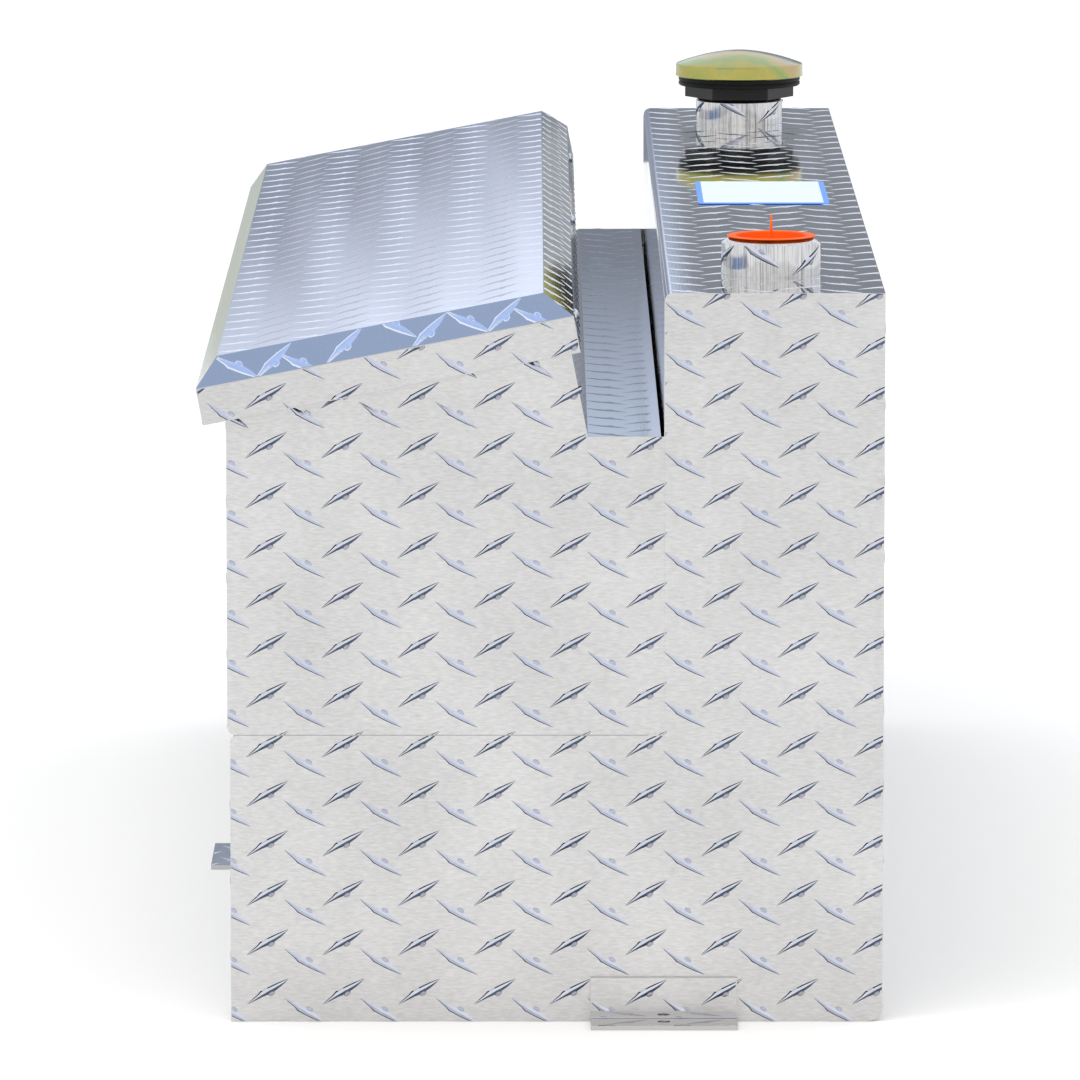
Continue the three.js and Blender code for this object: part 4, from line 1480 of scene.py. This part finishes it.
@dataclass
class FillerCap:
    """The vented filler cap: hexagon base, seal ring and plated dome."""

    dome_skin: float = 0.0012
    rim_lip: float = 0.0012
    crown_rise: float = 0.0118
    rim_height: float = 0.0114
    hex_corner: float = 0.0022
    hex_edge: float = 0.0008
    ring_hole: float = 0.020
    nipple_bore: float = 0.022
    nipple_crest: float = 0.0294

    def build(self) -> list[bpy.types.Object]:
        """Builds the cap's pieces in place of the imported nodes."""
        return [self._dome(), self._ring(), self._hexagon(), self._vent(), self._gasket()]

    @staticmethod
    def _box(node: str) -> tuple[Vector, float, float, float]:
        """Returns a node's axis foot, radius, bottom and top."""
        centre, low, high = foot_and_box(node)
        return centre, (high.y - low.y) / 2, low.z, high.z

    def _dome(self) -> bpy.types.Object:
        """Builds the pressed dome with its rolled rim."""
        centre, radius, low, high = self._box("cap_dome")
        shoulder = low + self.rim_height
        steps = 14
        crown = []
        for k in range(steps + 1):
            share = 1 - k / steps
            crown.append(((radius - 0.0012) * share, shoulder + self.crown_rise * (1 - share**1.8)))
        crown[-1] = (0.0, high)
        outer = [
            (radius - 0.0008, low),
            (radius, low + 0.0007),
            (radius, low + self.rim_lip),
            (radius - 0.0004, low + self.rim_lip + 0.0006),
            (radius - 0.0004, shoulder - 0.0014),
            (radius - 0.0007, shoulder - 0.0004),
        ]
        inner = [(max(r - self.dome_skin, 0.0), z - self.dome_skin) for r, z in reversed(crown)]
        inner[0] = (0.0, high - self.dome_skin)
        inner.append((radius - 0.0018, low))
        profile = [*outer, *crown, *inner, outer[0]]
        points, faces = self._open_axis(profile, centre)
        finish = YellowZinc("yellow_zinc", (0.78, 0.72, 0.38), 0.12, centre=(centre.x, centre.y, low))
        made = make_piece("cap_dome_shell", points, faces, [finish], "filler_cap")
        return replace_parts(fix_normals(smooth(made, 40)), "cap_dome")

    @staticmethod
    def _open_axis(profile: list[Point], centre: Vector) -> tuple[list, list]:
        """Turns a closed profile that touches the axis twice, as the skin of a dome does."""
        tops = [i for i, (r, _) in enumerate(profile) if r < 1e-9]
        outer, inner = profile[: tops[0] + 1], profile[tops[1] :]
        whole = turned(outer, centre)
        under = turned(inner, centre)
        shift = len(whole[0])
        return whole[0] + under[0], whole[1] + [[v + shift for v in f] for f in under[1]]

    def _ring(self) -> bpy.types.Object:
        """Builds the ribbed rubber seal ring."""
        centre, radius, low, high = self._box("cap_seal_ring")
        lip = low + 0.0030
        hole = self.ring_hole
        profile = [
            (hole, low), (radius - 0.0012, low), (radius - 0.0003, low + 0.0005), (radius, low + 0.0013),
            (radius, lip), (radius - 0.0009, lip + 0.0006), (radius - 0.0009, lip + 0.0012),
            (radius, lip + 0.0018), (radius, high - 0.0006), (radius - 0.0006, high), (hole, high),
            (hole, low),
        ]
        points, faces = turned(profile, centre)
        made = make_piece("cap_seal_band", points, faces, [BLACK_RUBBER], "filler_cap")
        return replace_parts(fix_normals(smooth(made, 30)), "cap_seal_ring")

    def _hexagon(self) -> bpy.types.Object:
        """Builds the hexagon base with rounded corners and its threaded nipple."""
        centre, low, high = foot_and_box("cap_hex_base")
        reach = (high.x - low.x) / 2
        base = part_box("cap_gasket")[1].z + 0.0003
        turns = [math.pi * k / 3 for k in range(6)]
        outline = rounded([(reach * math.cos(a), reach * math.sin(a), self.hex_corner) for a in turns], 3)
        points, faces = prism(outline, lambda x, y, z: (centre.x + x, centre.y + y, z), base, high.z)
        steps, rows = 72, int((base - low.z) / THREAD_PITCH * 6)
        start = len(points)
        rises = [base + 0.0006 - (base + 0.0006 - low.z) * row / rows for row in range(rows + 1)]
        points += thread(centre, rises, steps, lambda row, away: self.nipple_crest - THREAD_DEPTH * away)
        inner = len(points)
        points += thread(centre, (low.z, high.z - 0.002), steps, lambda row, away: self.nipple_bore)
        rings = rings_of(start, rows + 1, steps) + rings_of(inner, 2, steps)
        faces += strips(rings)
        faces += [tuple(rings[0]), tuple(reversed(rings[-1]))]
        made = make_piece("cap_hexagon", points, faces, [BLACK_PLASTIC], "filler_cap")
        fix_normals(smooth(made, 30))
        ease_edges(made, self.hex_edge, angle=70)
        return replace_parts(made, "cap_hex_base")

    def _vent(self) -> bpy.types.Object:
        """Builds the vent's valve disc under the dome."""
        centre, radius, low, high = self._box("cap_vent_disc")
        profile = [(0.0, low), (radius - 0.0006, low), (radius, low + 0.0006), (radius, low + 0.0022)]
        profile += [(radius - 0.003, low + 0.0032), (0.004, high - 0.004), (0.003, high), (0.0, high)]
        points, faces = turned(profile, centre, 48)
        made = make_piece("cap_vent_valve", points, faces, [BLACK_PLASTIC], "filler_cap")
        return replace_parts(fix_normals(smooth(made)), "cap_vent_disc")

    def _gasket(self) -> bpy.types.Object:
        """Builds the flat gasket with rounded edges."""
        centre, radius, low, high = self._box("cap_gasket")
        inner = 0.0305
        profile = [
            (inner, low + 0.0003), (inner + 0.0003, low), (radius - 0.0004, low), (radius, low + 0.0004),
            (radius, high - 0.0004), (radius - 0.0004, high), (inner + 0.0003, high), (inner, high - 0.0003),
        ]
        points, faces = turned([*profile, profile[0]], centre)
        made = make_piece("cap_gasket_washer", points, faces, [BLACK_RUBBER], "cap_gasket")
        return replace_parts(fix_normals(smooth(made)), "cap_gasket")


@dataclass
class BungPlug:
    """The push-in plug: a thin orange cup with a flange and an upright pull tab."""

    wall: float = 0.0018
    flange: float = 0.0009
    cup_depth: float = 0.018
    cup_radius: float = 0.0295
    tab_half: float = 0.009

    def build(self) -> bpy.types.Object:
        """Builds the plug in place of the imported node."""
        centre, low, high = foot_and_box("bung_plug")
        radius = (high.x - low.x) / 2
        seat = low.z + self.cup_depth
        top = seat + self.flange
        floor = low.z + self.wall
        cup = self.cup_radius
        bore = cup - self.wall
        profile = [
            (0.0, low.z), (cup - 0.003, low.z), (cup - 0.0014, low.z + 0.0008),
            (cup - 0.001, low.z + 0.002), (cup, seat - 0.0004), (cup + 0.0004, seat),
            (radius - 0.0006, seat), (radius, seat + 0.0005), (radius, top - 0.0006), (radius - 0.0007, top),
            (bore + 0.0012, top), (bore + 0.0003, top - 0.0005), (bore, top - 0.0014),
            (bore - 0.0008, floor + 0.002), (bore - 0.0022, floor), (0.0, floor),
        ]
        points, faces = turned(profile, centre)
        tab = rounded(
            [
                (-self.tab_half, floor - 0.0006, 0.0), (self.tab_half, floor - 0.0006, 0.0),
                (self.tab_half, high.z - 0.006, 0.003), (0.0035, high.z, 0.003), (-0.0035, high.z, 0.003),
                (-self.tab_half, high.z - 0.006, 0.003),
            ],
            4,
        )
        start = len(points)
        tall = high.z - floor
        for side in (-1, 1):
            for y, z in tab:
                half = 0.0016 - 0.0011 * (z - floor) / tall
                points.append((centre.x + side * half, centre.y + y, z))
        n = len(tab)
        faces += [tuple(start + k for k in reversed(range(n))), tuple(start + n + k for k in range(n))]
        faces += [(start + k, start + (k + 1) % n, start + n + (k + 1) % n, start + n + k) for k in range(n)]
        made = make_piece("bung_plug_cup", points, faces, [ORANGE], "bung_plug")
        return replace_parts(fix_normals(smooth(made, 36)), "bung_plug")


@dataclass
class BlankLabel:
    """The label: a thin film with rounded corners and blue edges, blank inside."""

    corner: float = 0.004

    def build(self) -> bpy.types.Object:
        """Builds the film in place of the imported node."""
        low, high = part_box("blank_label")
        r = self.corner
        corners = [(low.x, low.y, r), (high.x, low.y, r), (high.x, high.y, r), (low.x, high.y, r)]
        points, faces = prism(rounded(corners, 6), lambda x, y, z: (x, y, z), low.z, high.z)
        finish = Film("label_film", (0.74, 0.83, 0.88), 0.42, low=(low.x, low.y), high=(high.x, high.y))
        made = make_piece("blank_label_film", points, faces, [finish], "tank")
        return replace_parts(fix_normals(made), "blank_label")


@dataclass
class HingeRivets:
    """Domed rivet heads on the lid's back skirt."""

    tilt: float = SLANT
    head_radius: float = 0.005
    head_rise: float = 0.0034
    brim: float = 0.0004
    shank_radius: float = 0.0024

    def build(self) -> list[bpy.types.Object]:
        """Builds a smooth rivet in place of each packed one."""
        found = []
        a = Vector((math.cos(self.tilt), 0.0, math.sin(self.tilt)))
        b = Vector((-math.sin(self.tilt), 0.0, math.cos(self.tilt)))
        for i in (1, 2, 3):
            node = f"hinge_rivet_{i}"
            low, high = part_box(node)
            centre = (low + high) / 2
            span = (high.x - low.x - 2 * self.head_radius * math.sin(self.tilt)) / math.cos(self.tilt)
            tip = centre + a * (span / 2)
            reach, deep, brim, shank = self.head_radius, self.head_rise, self.brim, self.shank_radius
            profile = [(0.0, -span), (shank, -span), (shank, -deep), (reach, -deep)]
            steps = 7
            for k in range(steps + 1):
                swing = k / steps * math.pi / 2
                profile.append((reach * math.cos(swing), brim - deep + (deep - brim) * math.sin(swing)))
            profile[-1] = (0.0, 0.0)
            flat_points, faces = turned(profile, Vector((0, 0, 0)), 32)
            points = [tip + a * z + Y * x + b * y for x, y, z in flat_points]
            made = make_piece(f"{node}_dome", points, faces, [ZINC], "lid")
            found.append(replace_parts(fix_normals(smooth(made)), node))
        return found


# ---- studio ----------------------------------------------------------------------------------
@dataclass
class Studio:
    """A pale floor, soft lights, reflector cards and the camera."""

    lens: float = 337.17
    sensor: float = 36.0
    pitch: float = math.radians(7.8234)
    yaw: float = math.radians(0.0368)
    stand: tuple[float, float, float] = (0.00098, -8.53077, 1.44639)
    floor_size: float = 60.0

    def build(self) -> None:
        """Builds the studio."""
        self._floor()
        self._sky()
        self._cards()
        self._key_light()
        self._camera()
        bpy.context.scene.view_settings.view_transform = "Standard"

    def _floor(self) -> None:
        """Lays the floor."""
        half = self.floor_size / 2
        mesh = bpy.data.meshes.new("studio_floor")
        corners = [(x, y, 0) for x, y in rectangle(-half, -half, half, half)]
        mesh.from_pydata(corners, [], [(0, 1, 2, 3)])
        mesh.materials.append(Ground("studio_paint", (0.97, 0.965, 0.96), 1.0).material())
        floor = bpy.data.objects.new("studio_floor", mesh)
        floor.location.z = -0.0002
        bpy.context.scene.collection.objects.link(floor)

    def _sky(self) -> None:
        """Sets a soft, nearly white sky, cooler at the back and a little green low on the left."""
        world = bpy.data.worlds.new("studio_sky")
        world.use_nodes = True
        bpy.context.scene.world = world
        recipe = Recipe(world.node_tree)
        way = recipe.node("ShaderNodeTexCoord").outputs["Generated"]
        split = recipe.node("ShaderNodeSeparateXYZ", inputs={0: way})
        x, y, z = (Signal(recipe, split.outputs[i]) for i in range(3))
        front = (1.10, 1.09, 1.07)
        rear = (1.02, 1.06, 1.12)
        around = recipe.mix(y.between(-0.6, 0.8), front, rear)
        left = ((x + 0.02) * -1.0).between(0.0, 0.10) * y.between(0.0, 0.4) * (1.0 - z.between(0.15, 0.4))
        colour = recipe.mix(left * 0.6, around, (0.86, 0.90, 0.82))
        back = recipe.node("ShaderNodeBackground", inputs={"Color": colour, "Strength": 1.0})
        recipe.node("ShaderNodeOutputWorld", inputs={"Surface": back.outputs[0]})

    def _cards(self) -> None:
        """Hangs a toned card behind the set and a blue one overhead, both seen only in reflections."""
        self._card("back_card", (0.0, 6.0, 1.0), (3.6, 2.0), 0.0, self._back_glow)
        self._card("blue_card", (-0.5, -1.2, 5.0), (5.0, 3.6), math.pi / 2, self._blue_glow)

    @staticmethod
    def _back_glow(recipe: Recipe) -> object:
        """Returns the back card's light: pale blue left, dark grey right, brighter higher up."""
        x, _, z = recipe.axes()
        bands = recipe.noise(recipe.place((9.0, 0.0, 0.6)), detail=2.0)
        rise = (z + (bands - 0.5) * 0.2).between(0.01, 0.29)
        lid = recipe.mix(rise, (0.33, 0.37, 0.46), (0.98, 1.08, 1.32))
        trough = recipe.mix(z.between(0.06, 0.36), (0.23, 0.255, 0.31), (0.64, 0.75, 0.95))
        grey = recipe.mix(bands.between(0.3, 0.7), (0.25, 0.27, 0.31), (0.31, 0.33, 0.37))
        bevel = recipe.mix(z.between(-0.5, -0.05), (0.50, 0.53, 0.56), (0.34, 0.36, 0.38))
        right = recipe.mix(x.between(0.17, 0.20), trough, grey)
        right = recipe.mix((x > 0.5) * (z < 0.02), right, bevel)
        whole = recipe.mix(x.between(-0.12, 0.02), lid, right)
        return recipe.mix((x < -0.66) * (z < -0.35), whole, (0.56, 0.60, 0.54))

    @staticmethod
    def _blue_glow(recipe: Recipe) -> object:
        """Returns the overhead card's soft blue light."""
        cloud = recipe.noise(recipe.place(), scale=0.5)
        return recipe.mix(cloud, (0.46, 0.60, 0.90), (0.58, 0.74, 1.06))

    @staticmethod
    def _card(name: str, centre: Colour, size: Point, tip: float, glow: Callable[[Recipe], object]) -> None:
        """Hangs one card.

        Args:
            name: Its name.
            centre: Its middle.
            size: Its width and height.
            tip: How far it leans back from upright, in radians.
            glow: Makes the light it gives off.
        """
        wide, high = size[0] / 2, size[1] / 2
        corners = [(x, 0, z) for x, z in rectangle(-wide, -high, wide, high)]
        mesh = bpy.data.meshes.new(name)
        mesh.from_pydata(corners, [], [(0, 1, 2, 3)])
        material = bpy.data.materials.new(name)
        material.use_nodes = True
        recipe = Recipe(material.node_tree)
        shader = recipe.node("ShaderNodeEmission", inputs={"Color": glow(recipe), "Strength": 1.0})
        recipe.node("ShaderNodeOutputMaterial", inputs={"Surface": shader.outputs[0]})
        mesh.materials.append(material)
        card = bpy.data.objects.new(name, mesh)
        card.location = centre
        card.rotation_euler.x = tip
        card.visible_camera = False
        card.visible_diffuse = False
        card.visible_shadow = False
        bpy.context.scene.collection.objects.link(card)

    @staticmethod
    def _key_light() -> None:
        """Hangs one large soft lamp above and in front, to the left."""
        lamp = bpy.data.lights.new("key_light", "AREA")
        lamp.shape = "RECTANGLE"
        lamp.size, lamp.size_y = 3.0, 2.0
        lamp.energy = 55.0
        lamp.color = (1.0, 0.98, 0.95)
        key = bpy.data.objects.new("key_light", lamp)
        key.location = (-0.9, -2.4, 4.2)
        key.rotation_mode = "QUATERNION"
        key.rotation_quaternion = (Vector((0, 0, 0.3)) - Vector(key.location)).to_track_quat("-Z", "Y")
        key.visible_glossy = False
        bpy.context.scene.collection.objects.link(key)

    def _camera(self) -> None:
        """Stands the camera at the near end, a long way off."""
        data = bpy.data.cameras.new("camera")
        data.lens = self.lens
        data.sensor_width = self.sensor
        data.clip_start, data.clip_end = 0.1, 100.0
        camera = bpy.data.objects.new("camera", data)
        camera.location = self.stand
        camera.rotation_euler = (math.pi / 2 - self.pitch, 0.0, -self.yaw)
        bpy.context.scene.collection.objects.link(camera)
        bpy.context.scene.camera = camera


# ---- assembly --------------------------------------------------------------------------------
SATIN_NODES = ("tank_end", "toolbox_end")


def dress_nodes(frame: dict) -> None:
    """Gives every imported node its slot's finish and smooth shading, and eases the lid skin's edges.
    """
    slots = {part["node"]: part["material_slot"] for part in frame["record"]["subparts"]}
    for name, node in frame["nodes"].items():
        finish = END_PLATE if name.startswith(SATIN_NODES) else SLOT_FINISHES[slots[name]]
        if "strut_rod" in name:
            finish = STRUT_ROD
        elif "latch" in name and slots[name] == "polished_aluminium":
            finish = PADDLE_METAL
        node.data.materials.clear()
        node.data.materials.append(finish.material())
        soften_node(node, 0.0012 if name == "lid_skin" else 0.0)


def main() -> None:
    """Builds everything and reports each group."""
    logging.basicConfig(level=logging.INFO, format="%(message)s")
    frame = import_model()
    dress_nodes(frame)
    tread = TreadPattern()
    groups = (TankTread(), ToolboxTread(), LidTread(), BracketTread())
    for group in groups:
        for panel in group.panels():
            made = tread.lay(panel)
            LOG.info("%s: %d faces", made.name, len(made.data.polygons))
    for port in (Port("outlet_bung", (0.006, 0.004)), Port("filler_neck", (0.001, 0.001))):
        for made in port.build(tread):
            LOG.info("%s", made.name)
    pieces = [*EndFaces().build(), *LidTread().faces(), *BracketTread().faces()]
    pieces += [*FillerCap().build(), BungPlug().build(), BlankLabel().build(), *HingeRivets().build()]
    for made in pieces:
        LOG.info("%s", made.name)
    Studio().build()


if __name__ == "__main__":
    main()
